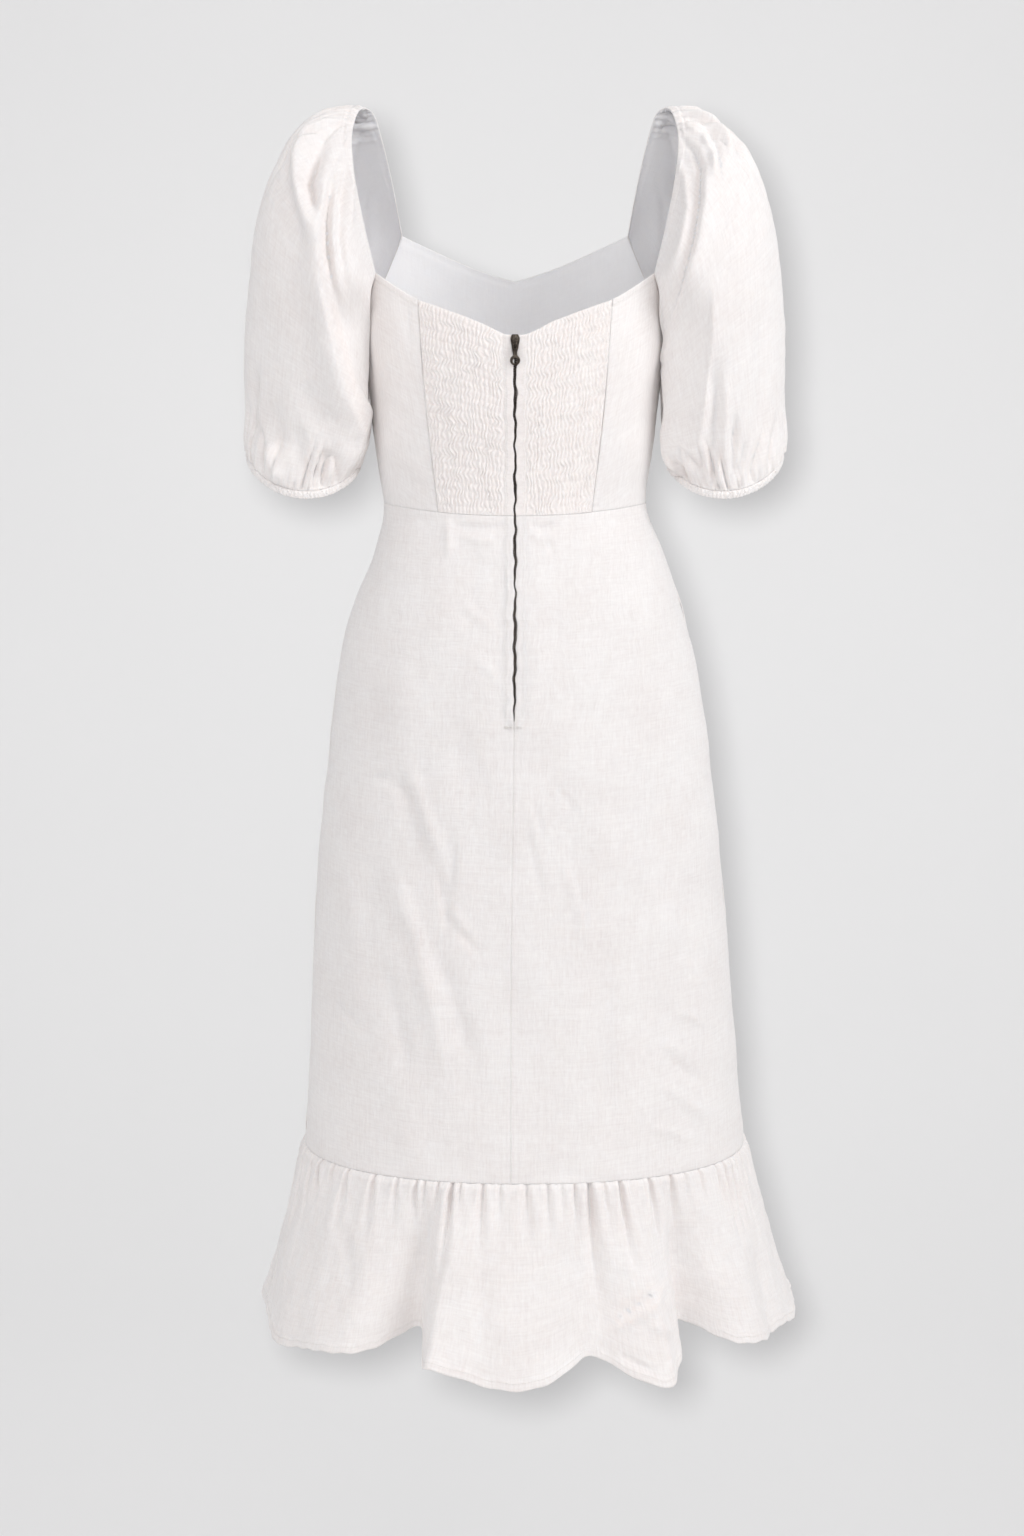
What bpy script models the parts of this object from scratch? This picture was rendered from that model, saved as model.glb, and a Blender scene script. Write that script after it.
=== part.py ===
"""Puff sleeve midi dress, filled out with no wearer. Metres, +Z up.

The back of the dress faces -Y and the wearer's right hand side is +X. The origin lies between
the two shoulder tops, where the wearer holds the dress up.
"""

import math

import bmesh
import bpy

COLLECTION = "puff_sleeve_midi_dress"
CUTTERS = "joined_helpers"

# Cloth
CLOTH = 0.0020  # thickness of every cloth wall
SEAM_GAP = 0.0003  # space left between two pieces at a seam

# Lengths down the dress from the shoulder tops
WAIST_Z = -0.373
WAIST_DIP = 0.010  # how much lower the waist seam lies at the centre back
RUFFLE_SEAM_Z = -1.006
HEM_Z = -1.174
RUFFLE_FLARE = 0.046  # how far the hem stands out from the seam above it
UNDERARM_Z = -0.205

CENTRE_BACK_SHIFT = -0.004  # x of the centre back seam low on the skirt
CENTRE_BACK_SHIFT_Z = (-0.45, -0.85)  # heights between which it moves there

# Necklines
BACK_CORNER = (0.131, -0.157)  # x, z where a sleeve meets the back neck edge
FRONT_CORNER = (0.1115, -0.1135)
NECK_ARC = 2.0  # power that bends the armhole down to the underarm

# Smocked panels and the zip between them
ZIP_TOP_Z = -0.216
ZIP_BOTTOM_Z = -0.573
ZIP_HALF_GAP = 0.0026  # folded edge to the middle of the zip
ZIP_CLOSING = (0.018, 0.002)  # below the zip's end, where the opening is shut and still open
STRIP = 0.0085  # plain folded strip beside the zip
SMOCK_ROWS = 16
SMOCK_COLUMNS = 12
SMOCK_DEPTH = 0.0013
SMOCK_BORDER = 0.004  # flat cloth round the puckers
SMOCK_SEAM = 0.001  # flat cloth beside the side panel's seam
SMOCK_SHIFT = (0.5, 0.21, 2.4)  # of a row by its neighbour: every other, uneven, its rhythm

# Sleeves
CUFF_CENTRE = (0.2045, 0.000, -0.323)
CUFF_HALF_WIDTH = 0.0545
CUFF_HALF_DEPTH = 0.052
CUFF_BACK_DROP = 0.033  # how much lower than its sides the back of the cuff hangs
CUFF_FRONT_RISE = 0.015
CUFF_INNER_DROP = 0.010  # how much lower than its outer side its side by the body hangs
CUFF_HEIGHT = 0.008
CUFF_GATHERS = 18
CUFF_GATHER_DEPTH = 0.0014
CUFF_GATHER_RISE = (0.72, 0.95)  # share of the sleeve's length where they begin and are full
CUFF_PUFFS = (0.0007, -0.0003)  # every other column of the casing stands out or in
CUFF_ROWS = (
    # share of the casing's height, share of its puffs
    (0.0, 0.0),
    (0.5, 1.0),
    (1.0, 0.6),
)
SLEEVE_CLEARANCE = 0.004  # sleeve to the side of the bodice

# Ruffle
RUFFLE_GATHERS = 25  # on each of its two panels
RUFFLE_GATHER_DEPTH = 0.0022
RUFFLE_UNEVEN_STEP = (0.35, 2.7)  # sideways, in columns, and its rhythm
RUFFLE_UNEVEN_DEPTH = (0.75, 0.5, 1.9, 0.6)  # least, more, its rhythm and start

# Body section at each height: half width, depth to the front, depth to the back, sideways drift
BODY = (
    # z, width, front, back, drift
    (0.000, 0.156, 0.090, 0.088, 0.000),
    (-0.113, 0.152, 0.112, 0.094, 0.000),
    (-0.188, 0.1490, 0.119, 0.102, 0.000),
    (-0.215, 0.1467, 0.121, 0.103, 0.000),
    (-0.262, 0.1404, 0.116, 0.099, -0.0005),
    (-0.307, 0.1360, 0.107, 0.094, -0.0010),
    (-0.340, 0.1310, 0.099, 0.090, -0.0008),
    (-0.373, 0.1270, 0.094, 0.088, 0.000),
    (-0.417, 0.1386, 0.100, 0.100, 0.0035),
    (-0.460, 0.1554, 0.106, 0.112, 0.0031),
    (-0.507, 0.1692, 0.110, 0.122, 0.0020),
    (-0.556, 0.1785, 0.114, 0.129, 0.0025),
    (-0.634, 0.1882, 0.120, 0.135, 0.0040),
    (-0.718, 0.1984, 0.127, 0.140, 0.0040),
    (-0.796, 0.2040, 0.135, 0.146, 0.0053),
    (-0.873, 0.2094, 0.144, 0.152, 0.0072),
    (-0.952, 0.2147, 0.153, 0.160, 0.0087),
    (-1.006, 0.2195, 0.160, 0.166, 0.0095),
)
ROUNDNESS = 2.2  # 2 is an ellipse, more is squarer
SIDE_TURN_SHARE = 1.3  # turn across a gap at the body's sides, over that of a circle
FOLD_START_FADE = (-0.25, 0.2)  # share of a crease's length where it rises
FOLD_END_FADE = (0.75, 1.25)

# Soft diagonal creases of the skirt: each runs between two places and stands out or in
SKIRT_FOLDS = (
    # turn and height at its start, turn and height at its end, width, depth out
    (-49, -0.640, -13, -0.835, 0.016, 0.0030),
    (-38, -0.770, -17, -0.890, 0.014, 0.0026),
    (-60, -0.840, -34, -0.985, 0.016, 0.0022),
    (16, -0.730, 22, -0.785, 0.010, 0.0020),
    (49, -0.825, 62, -0.895, 0.012, 0.0026),
    (46, -0.925, 64, -0.970, 0.012, 0.0026),
    (150, -0.640, 186, -0.850, 0.018, 0.0028),
    (212, -0.760, 182, -0.920, 0.016, 0.0026),
    (128, -0.860, 150, -0.960, 0.014, 0.0022),
)

# Large waves of the ruffle round the hem, as seen from above. A turn of 0 is the centre back
RUFFLE_WAVES = (
    # turn, wave width in turn, out at the hem, lean to +X at the hem, drop of the hem
    (-86, 13, -0.008, 0.000, 0.004),
    (-62, 12, 0.004, 0.000, 0.008),
    (-40, 13, 0.006, 0.000, -0.004),
    (-22, 5, -0.048, -0.012, -0.022),
    (-14, 5, 0.016, -0.014, -0.010),
    (-2, 9, 0.014, 0.000, 0.012),
    (12, 5, -0.012, 0.000, -0.014),
    (25, 7, 0.018, 0.010, 0.014),
    (36, 5, -0.046, 0.012, -0.024),
    (50, 10, 0.012, -0.002, -0.002),
    (66, 7, -0.004, 0.000, 0.006),
    (84, 9, 0.006, 0.000, 0.011),
    (103, 11, 0.014, 0.000, 0.006),
    (122, 8, -0.022, 0.000, -0.012),
    (141, 11, 0.020, 0.000, 0.010),
    (160, 7, -0.020, 0.000, -0.012),
    (180, 12, 0.020, 0.000, 0.010),
    (201, 8, -0.024, 0.000, -0.014),
    (221, 11, 0.018, 0.000, 0.009),
    (242, 8, -0.018, 0.000, -0.010),
    (261, 10, 0.010, 0.000, 0.006),
)

# Back and front neck edges, outwards from the middle
BACK_NECK = (
    # x, z
    (0.000, -0.2165),
    (0.009, -0.2155),
    (0.034, -0.2040),
    (0.070, -0.1905),
    (0.094, -0.1815),
    (0.112, -0.1705),
    (0.131, -0.1570),
)
FRONT_NECK = (
    # x, z
    (0.000, -0.1560),
    (0.015, -0.1520),
    (0.045, -0.1420),
    (0.083, -0.1260),
    (0.1115, -0.1135),
)
SMOCK_EDGE = (
    # z, x of the seam between the smocked and the side panel
    (-0.184, 0.0905),
    (-0.278, 0.0840),
    (-0.383, 0.0725),
)

# Free neck edge of a sleeve, from the back corner over the shoulder to the front corner
SLEEVE_NECK_EDGE = (
    # share of the way round the sleeve, x, y, z
    (0.16, 0.1310, -0.0560, -0.1570),
    (0.24, 0.1415, -0.0575, -0.1110),
    (0.32, 0.1500, -0.0510, -0.0660),
    (0.39, 0.1530, -0.0380, -0.0320),
    (0.45, 0.1490, -0.0190, -0.0080),
    (0.50, 0.1425, 0.0000, 0.0000),
    (0.55, 0.1345, 0.0190, -0.0050),
    (0.61, 0.1275, 0.0370, -0.0290),
    (0.69, 0.1190, 0.0560, -0.0680),
    (0.84, 0.1115, 0.0760, -0.1135),
)
# Ridges of the sleeve: from a place on the head to a place nearer the cuff
SLEEVE_FOLDS = (
    # way round and along at its start, the same at its end, width, height out
    (0.38, 0.00, 0.13, 0.72, 0.050, 0.0075),
    (0.43, 0.00, 0.27, 0.42, 0.040, 0.0045),
    (0.31, 0.10, 0.20, 0.60, 0.035, -0.0045),
    (0.62, 0.00, 0.86, 0.70, 0.050, 0.0070),
    (0.57, 0.00, 0.72, 0.45, 0.040, 0.0045),
    (0.70, 0.10, 0.80, 0.60, 0.035, -0.0040),
)
SHOULDER_GATHERS = 9  # pleats of the gathered shoulder edge
SHOULDER_GATHER_DEPTH = 0.0022
SHOULDER_GATHER_SPAN = 0.24  # share of the way round that they take up
SHOULDER_GATHER_SIDES = (0.06, 0.14)  # from the shoulder top, where they fade
SHOULDER_GATHER_LENGTH = (0.02, 0.35)  # along the sleeve, where they fade
NECK_CORNER_SPAN = 0.08  # share of the way round where the neck edge turns at a corner
NECK_CORNER_TURN = (-0.6, 0.8)  # direction of the wall's thickness at a corner
# Each lengthwise line of a sleeve is a curve with a point near its head and one near its cuff.
# Their moves from the head and the cuff: at the underarm, more at the shoulder top, at the sides
NEAR_HEAD = {"out": (0.003, 0.122), "along_y": -0.060, "up": (-0.022, 0.030)}
NEAR_CUFF = {"out": (-0.013, 0.016, -0.024), "along_y": -0.042, "up": (0.045, 0.055, 0.025)}
NORMAL_STEP = 0.004  # step round and along a sleeve that its slope is measured over

# Zip hardware
TAPE_WIDTH = 0.013
TAPE_THICKNESS = 0.0008
TAPE_GAP = 0.0006  # folded cloth to the tape behind it
CHAIN_WIDTH = 0.0042
CHAIN_THICKNESS = 0.0016
SLIDER_WIDTH = 0.0086
SLIDER_HEIGHT = 0.0132
SLIDER_THICKNESS = 0.0020
SLIDER_WAIST = 0.0058  # width at the slider's lower end
SLIDER_ROUNDING = 0.0004
SLIDER_SHOULDERS = (
    # share of the half width, share of the half height
    (1.0, 0.25),
    (1.0, 0.75),
    (0.7, 1.0),
)
PULL_AXIS_DROP = 0.0095  # slider's top to the pull tab's axis
PULL_AXIS_STAND = 0.0013  # slider's face to the pull tab's axis
BRIDGE_RADIUS = 0.0021
BRIDGE_WIRE = 0.0006
BRIDGE_STEPS = 8
BRIDGE_SINK = 42.0  # degrees of the ring inside the slider at each end
TAB_LENGTH = 0.0190
TAB_THICKNESS = 0.0010
TAB_END_RADIUS = 0.0047
TAB_SIDE = (
    # x, z of its right side below its axis, down to its narrow neck
    (0.0029, -0.0036),
    (0.0019, -0.0062),
    (0.0019, -0.0088),
)
TAB_WINDOW = (0.0014, -0.0031)  # half width and low end of the slot for the bridge
TAB_HOLE_RADIUS = 0.0016
TAB_HOLE_DROP = 0.0006  # hole's middle below that of the round end

# Grid of each piece: columns across or round, rows down
COLUMNS_SIDE_NECK = 3
COLUMNS_ARMHOLE = 6
COLUMNS_FRONT_NECK = 12
COLUMNS_SKIRT_BACK = 10
COLUMNS_SKIRT_FRONT = 16
COLUMNS_SLEEVE_NECK = 24
ROWS_BODICE = 11
SKIRT_STEPS = (0.0, 0.022, 0.05, 0.085, 0.13, 0.18, 0.24, 0.304, 0.333, 0.40, 0.50, 0.62, 0.75, 0.88, 1.0)
SLEEVE_STEPS = (0.0, 0.012, 0.05, 0.11, 0.19, 0.29, 0.41, 0.54, 0.67, 0.79, 0.88, 0.95, 1.0)
RUFFLE_STEPS = (0.0, 0.07, 0.20, 0.42, 0.70, 1.0)
RUFFLE_GATHER_FADE = (0.55, 1.0, 0.9, 0.35, 0.0, 0.0)

LINEN = ("linen", (0.91, 0.895, 0.885), 0.9, 0.0)
SMOCKED_LINEN = ("smocked_linen", (0.90, 0.885, 0.875), 0.9, 0.0)
TAPE_CLOTH = ("zip_tape_cloth", (0.88, 0.87, 0.86), 0.85, 0.0)
DARK_METAL = ("antique_brass", (0.055, 0.048, 0.042), 0.35, 1.0)


# Tables and curves


def smooth(low, high, value):
    """0 below low, 1 above high, and an even curve between."""
    share = min(1.0, max(0.0, (value - low) / (high - low)))
    return share * share * (3.0 - 2.0 * share)


def interpolate(table, at, column):
    """Value of a column where the first column is at, on a smooth curve through the rows."""
    rows = sorted(table)
    keys = [row[0] for row in rows]
    at = min(max(at, keys[0]), keys[-1])
    i = max(k for k in range(len(rows) - 1) if keys[k] <= at)
    share = (at - keys[i]) / (keys[i + 1] - keys[i])

    def slope(k):
        before, after = max(k - 1, 0), min(k + 1, len(rows) - 1)
        rises = [rows[k][column] - rows[before][column], rows[after][column] - rows[k][column]]
        if before < k < after and rises[0] * rises[1] <= 0.0:
            return 0.0
        return sum(rises) / (keys[after] - keys[before])

    step = keys[i + 1] - keys[i]
    square, cube = share * share, share**3
    return (
        (2 * cube - 3 * square + 1) * rows[i][column]
        + (cube - 2 * square + share) * step * slope(i)
        + (3 * square - 2 * cube) * rows[i + 1][column]
        + (cube - square) * step * slope(i + 1)
    )


def ridge(place, start, end, width):
    """Height of a soft ridge at a place: 1 along its line, fading at its sides and ends."""
    across = (end[0] - start[0], end[1] - start[1])
    length = math.hypot(*across)
    offset = (place[0] - start[0], place[1] - start[1])
    along = (offset[0] * across[0] + offset[1] * across[1]) / length**2
    side = (offset[0] * across[1] - offset[1] * across[0]) / length
    ends = smooth(*FOLD_START_FADE, along) * (1.0 - smooth(*FOLD_END_FADE, along))
    return ends * math.exp(-((side / width) ** 2))


# Body and skirt


def body_size(z):
    return [interpolate(BODY, z, column) for column in (1, 2, 3, 4)]


def skirt_fold(turn, z):
    """How far the skirt's creases move its surface outwards. turn is in degrees from the back."""
    width = interpolate(BODY, z, 1)
    total = 0.0
    for turn_a, z_a, turn_b, z_b, fold_width, depth in SKIRT_FOLDS:
        near = (turn - turn_a + 180.0) % 360.0 - 180.0
        sweep = turn_b - turn_a
        place = (math.radians(near) * width, z)
        total += depth * ridge(place, (0.0, z_a), (math.radians(sweep) * width, z_b), fold_width)
    return total


def body_point(turn, z, inset=0.0):
    """Point of the body at a turn in degrees: 0 centre back, 90 the side at +X, 180 front."""
    width, front, back, drift = body_size(z)
    angle = math.radians(turn)
    depth = back if math.cos(angle) > 0.0 else front
    out = skirt_fold(turn, z) - inset
    power = 2.0 / ROUNDNESS
    x = math.copysign(abs(math.sin(angle)) ** power, math.sin(angle))
    y = math.copysign(abs(math.cos(angle)) ** power, -math.cos(angle))
    return (drift + (width + out) * x, (depth + out) * y, z)


def turn_at(x, z, front=False):
    """Turn in degrees of the point of the body at this x, on its back half or its front half."""
    width, _, _, drift = body_size(z)
    share = min(1.0, abs(x - drift) / width)
    turn = math.degrees(math.asin(share ** (ROUNDNESS / 2.0)))
    turn = math.copysign(turn, x - drift)
    return 180.0 - turn if front else turn


def waist_z(turn):
    return WAIST_Z - WAIST_DIP * max(0.0, math.cos(math.radians(turn))) ** 2


BACK_CORNER_TURN = turn_at(*BACK_CORNER)
FRONT_CORNER_TURN = turn_at(*FRONT_CORNER, front=True)


def bodice_top(turn):
    """Height of the bodice's upper edge at a turn between 0 and 180, the same on both sides."""
    if turn <= BACK_CORNER_TURN:
        x = body_point(turn, BACK_CORNER[1])[0]
        return interpolate(BACK_NECK, x, 1)
    if turn >= FRONT_CORNER_TURN:
        x = abs(body_point(turn, FRONT_CORNER[1])[0])
        return interpolate(FRONT_NECK, x, 1)
    corner = BACK_CORNER if turn < 90.0 else FRONT_CORNER
    corner_turn = BACK_CORNER_TURN if turn < 90.0 else FRONT_CORNER_TURN
    share = abs(turn - 90.0) / abs(corner_turn - 90.0)
    return UNDERARM_Z + (corner[1] - UNDERARM_Z) * share**NECK_ARC


# Meshes


def material(finish):
    """The named finish as a Principled BSDF material, made once."""
    name, colour, roughness, metallic = finish
    made = bpy.data.materials.get(name)
    if made:
        return made
    made = bpy.data.materials.new(name)
    made.use_nodes = True
    shader = made.node_tree.nodes["Principled BSDF"]
    shader.inputs["Base Color"].default_value = (*colour, 1.0)
    shader.inputs["Roughness"].default_value = roughness
    shader.inputs["Metallic"].default_value = metallic
    return made


def add_mesh(name, points, faces, finish):
    """A named object of these points and faces in the dress's collection."""
    mesh = bpy.data.meshes.new(name)
    mesh.from_pydata(points, [], faces)
    cage = bmesh.new()
    cage.from_mesh(mesh)
    bmesh.ops.recalc_face_normals(cage, faces=cage.faces)
    cage.to_mesh(mesh)
    cage.free()
    mesh.shade_smooth()
    mesh.set_sharp_from_angle(angle=math.radians(50))
    mesh.materials.append(material(finish))
    made = bpy.data.objects.new(name, mesh)
    bpy.data.collections[COLLECTION].objects.link(made)
    return made


def wall(name, outer, inner, finish, closed=False):
    """A cloth wall between two grids of points, each a list of rows. A closed grid is a tube.

    The inner grid may be coarser: its borders then divide the outer grid's borders evenly.
    """
    points = [point for row in outer for point in row]
    first_inner = len(points)
    points += [point for row in inner for point in row]
    faces = []

    def cells(grid, start):
        columns = len(grid[0])
        span = columns if closed else columns - 1
        for r in range(len(grid) - 1):
            for c in range(span):
                after = (c + 1) % columns
                corner = start + r * columns
                below = corner + columns
                faces.append((corner + c, corner + after, below + after, below + c))

    def border(grid, start, side):
        rows, columns = len(grid), len(grid[0])
        if side in ("top", "bottom"):
            row = 0 if side == "top" else rows - 1
            line = [start + row * columns + c for c in range(columns)]
            return line + line[:1] if closed else line
        column = 0 if side == "left" else columns - 1
        return [start + r * columns + column for r in range(rows)]

    cells(outer, 0)
    cells(inner, first_inner)
    for side in ("top", "bottom") if closed else ("top", "bottom", "left", "right"):
        fine = border(outer, 0, side)
        coarse = border(inner, first_inner, side)
        each = (len(fine) - 1) // (len(coarse) - 1)
        for i in range(len(coarse) - 1):
            run = fine[i * each : (i + 1) * each + 1]
            faces.append(run + [coarse[i + 1], coarse[i]])
    return add_mesh(name, points, faces, finish)


def body_wall(name, turns, top, bottom, steps, finish):
    """A wall of the body between two edges, which are heights as functions of the turn."""

    def grid(inset):
        return [
            [
                body_point(turn, top(turn) + (bottom(turn) - top(turn)) * step, inset)
                for turn in turns
            ]
            for step in steps
        ]

    return wall(name, grid(0.0), grid(CLOTH), finish)


def spread(start, end, count):
    """Evenly spread values from start to end, both ends included."""
    return [start + (end - start) * i / count for i in range(count + 1)]


def gap_in_turn(z):
    """Half of the seam gap, as a turn in degrees at the body's side and back."""
    return math.degrees(0.5 * SEAM_GAP / interpolate(BODY, z, 1)) * SIDE_TURN_SHARE


# Bodice


def seam_x(z):
    return interpolate(SMOCK_EDGE, z, 1)


def side_panel(name, side):
    """Plain side back from the smocked panel's edge to the side seam."""
    seam_top = SMOCK_EDGE[0][0]
    start = turn_at(seam_x(seam_top), seam_top)
    neck = spread(start, BACK_CORNER_TURN, COLUMNS_SIDE_NECK)
    turns = neck[:-1] + spread(BACK_CORNER_TURN, 90.0, COLUMNS_ARMHOLE)

    def grid(inset):
        rows = []
        for r in range(ROWS_BODICE + 1):
            row = []
            for rough in turns:
                share = (rough - start) / (90.0 - start)
                top = bodice_top(rough)
                z = top + (waist_z(rough) - top) * r / ROWS_BODICE
                inner_turn = turn_at(side * (seam_x(z) + 0.5 * SEAM_GAP), z)
                outer_turn = side * (90.0 - gap_in_turn(z))
                row.append(body_point(inner_turn + (outer_turn - inner_turn) * share, z, inset))
            rows.append(row)
        return rows

    return wall(name, grid(0.0), grid(CLOTH), LINEN)


def zip_gap(z):
    """Half width of the opening along the zip, which narrows to a seam below it."""
    shut, still_open = [ZIP_BOTTOM_Z - length for length in ZIP_CLOSING]
    return 0.5 * SEAM_GAP + (ZIP_HALF_GAP - 0.5 * SEAM_GAP) * smooth(shut, still_open, z)


def pucker(across, down):
    """Height of the shirring, 0 to 1, where across counts puckers and down counts rows."""
    row = math.floor(down)
    every_other, uneven, rhythm = SMOCK_SHIFT
    shift = every_other * (row % 2) + uneven * math.sin(rhythm * row)
    ripple = 0.5 + 0.5 * math.sin(2.0 * math.pi * (across + shift))
    return ripple * math.sin(math.pi * (down - row)) ** 0.5 if down > row else 0.0


def smocked_panel(name, side):
    """Shirred panel: puckers raised in the outer points over a plain inside."""
    across_steps = 2 * SMOCK_COLUMNS
    down_steps = 2 * SMOCK_ROWS

    def place(across, down):
        top = interpolate(BACK_NECK, SMOCK_EDGE[0][1] * across, 1)
        bottom = waist_z(turn_at(seam_x(WAIST_Z) * across, WAIST_Z))
        z = top + (bottom - top) * down
        start, end = zip_gap(z), seam_x(z) - 0.5 * SEAM_GAP
        return turn_at(side * (start + (end - start) * across), z), z, end - start

    def point(across, down, inset, raised):
        turn, z, width = place(across, down)
        height = 0.0
        if raised:
            inside = min(width * across - STRIP, width * (1.0 - across) - SMOCK_SEAM)
            edge = smooth(0.0, SMOCK_BORDER, inside)
            waves = pucker(across * SMOCK_COLUMNS, down * SMOCK_ROWS)
            height = SMOCK_DEPTH * edge * waves
        return body_point(turn, z, inset - height)

    def grid(columns, rows, inset, raised):
        return [
            [point(c / columns, r / rows, inset, raised) for c in range(columns + 1)]
            for r in range(rows + 1)
        ]

    outer = grid(across_steps, down_steps, 0.0, True)
    inner = grid(across_steps // 3, down_steps // 2, CLOTH, False)
    return wall(name, outer, inner, SMOCKED_LINEN)


def front_bodice():
    start = 90.0 + gap_in_turn(UNDERARM_Z)
    armhole = spread(start, FRONT_CORNER_TURN, COLUMNS_ARMHOLE)
    neck = spread(FRONT_CORNER_TURN, 360.0 - FRONT_CORNER_TURN, COLUMNS_FRONT_NECK)
    turns = armhole[:-1] + neck + [360.0 - turn for turn in reversed(armhole[:-1])]
    return body_wall(
        "front_bodice",
        turns,
        lambda turn: bodice_top(min(turn, 360.0 - turn)),
        lambda turn: WAIST_Z,
        spread(0.0, 1.0, ROWS_BODICE),
        LINEN,
    )


# Skirt and ruffle


def skirt_top(turn):
    return waist_z(turn) - SEAM_GAP


def skirt_back(name, side):
    """Half of the skirt's back, open along the zip."""

    def grid(inset):
        rows = []
        for step in SKIRT_STEPS:
            row = []
            for share in spread(0.0, 1.0, COLUMNS_SKIRT_BACK):
                top = skirt_top(90.0 * share)
                z = top + (RUFFLE_SEAM_Z - top) * step
                start = turn_at(centre_back(z) + side * zip_gap(z), z)
                end = side * (90.0 - gap_in_turn(z))
                row.append(body_point(start + (end - start) * share, z, inset))
            rows.append(row)
        return rows

    return wall(name, grid(0.0), grid(CLOTH), LINEN)


def centre_back(z):
    """x of the centre back line, which stays upright while the skirt drifts sideways."""
    return CENTRE_BACK_SHIFT * smooth(*CENTRE_BACK_SHIFT_Z, z)


def skirt_front():
    edge = 90.0 + gap_in_turn(RUFFLE_SEAM_Z)
    turns = spread(edge, 360.0 - edge, COLUMNS_SKIRT_FRONT)
    return body_wall(
        "skirt_front", turns, skirt_top, lambda turn: RUFFLE_SEAM_Z, SKIRT_STEPS, LINEN
    )


def ruffle_wave(turn):
    """Outward move, lean and drop of the ruffle's large waves at the hem."""
    moves = [0.0, 0.0, 0.0]
    for wave_turn, width, *wave_moves in RUFFLE_WAVES:
        near = (turn - wave_turn + 180.0) % 360.0 - 180.0
        weight = math.exp(-((near / width) ** 2))
        moves = [total + weight * move for total, move in zip(moves, wave_moves)]
    return moves


def ruffle_point(turn, down, gather, inset):
    """Point of the ruffle at a share of its depth. gather moves its gathered top in and out."""
    seam = body_point(turn, RUFFLE_SEAM_Z, inset)
    out, lean, drop = ruffle_wave(turn)
    reach = RUFFLE_FLARE * down**1.1 + out * down**1.2 + gather
    angle = math.radians(turn)
    z = RUFFLE_SEAM_Z - SEAM_GAP + (HEM_Z - RUFFLE_SEAM_Z) * down
    return (
        seam[0] + reach * math.sin(angle) + lean * down**1.5,
        seam[1] - reach * math.cos(angle),
        z - drop * down**1.5,
    )


def ruffle(name, start_turn):
    """Half of the ruffle, with a gather every other column along its seam."""
    edge = gap_in_turn(RUFFLE_SEAM_Z)
    columns = 2 * RUFFLE_GATHERS
    step_share, step_rhythm = RUFFLE_UNEVEN_STEP
    least, more, depth_rhythm, depth_start = RUFFLE_UNEVEN_DEPTH

    def grid(inset):
        rows = []
        for down, fade in zip(RUFFLE_STEPS, RUFFLE_GATHER_FADE):
            row = []
            for c in range(columns + 1):
                inside = 0 < c < columns
                uneven = step_share * math.sin(step_rhythm * c) * inside
                turn = start_turn + edge + (180.0 - 2.0 * edge) * (c + uneven) / columns
                share = least + more * math.sin(depth_rhythm * c + depth_start)
                depth = RUFFLE_GATHER_DEPTH * share * fade * inside
                row.append(ruffle_point(turn, down, depth if c % 2 else -depth, inset))
            rows.append(row)
        return rows

    return wall(name, grid(0.0), grid(CLOTH), LINEN)


# Sleeves


def sleeve_head(way, inset):
    """Point of a sleeve's head at a share of the way round from the underarm, through the back."""
    first, last = SLEEVE_NECK_EDGE[0][0], SLEEVE_NECK_EDGE[-1][0]
    if first <= way <= last:
        x, y, z = [interpolate(SLEEVE_NECK_EDGE, way, column) for column in (1, 2, 3)]
        near = smooth(0.0, NECK_CORNER_SPAN, min(way - first, last - way))
        corner_in = inset * (1.0 - near)
        corner_x, corner_y = NECK_CORNER_TURN
        behind = way < 0.5 * (first + last)
        return (
            x + inset * near + corner_x * corner_in,
            y + corner_y * corner_in * (1.0 if behind else -1.0),
            z + SEAM_GAP,
        )
    if way < first:
        turn = 90.0 + (BACK_CORNER_TURN - 90.0) * way / first
    else:
        turn = 90.0 + (FRONT_CORNER_TURN - 90.0) * (1.0 - way) / (1.0 - last)
    x, y, z = body_point(turn, bodice_top(turn), inset)
    return (x, y, z + SEAM_GAP)


def cuff_point(way, inset, down=0.0):
    """Point round the cuff's upper edge, or the given length below it."""
    angle = 2.0 * math.pi * way
    across, back = -math.cos(angle), -math.sin(angle)
    tilt = 0.5 * (CUFF_BACK_DROP + CUFF_FRONT_RISE)
    sag = 0.5 * (CUFF_BACK_DROP - CUFF_FRONT_RISE)
    slope = 0.5 * CUFF_INNER_DROP
    return (
        CUFF_CENTRE[0] + (CUFF_HALF_WIDTH - inset) * across,
        CUFF_CENTRE[1] + (CUFF_HALF_DEPTH - inset) * back,
        CUFF_CENTRE[2] + tilt * back - sag * back * back - slope * (1.0 - across) - down,
    )


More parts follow.
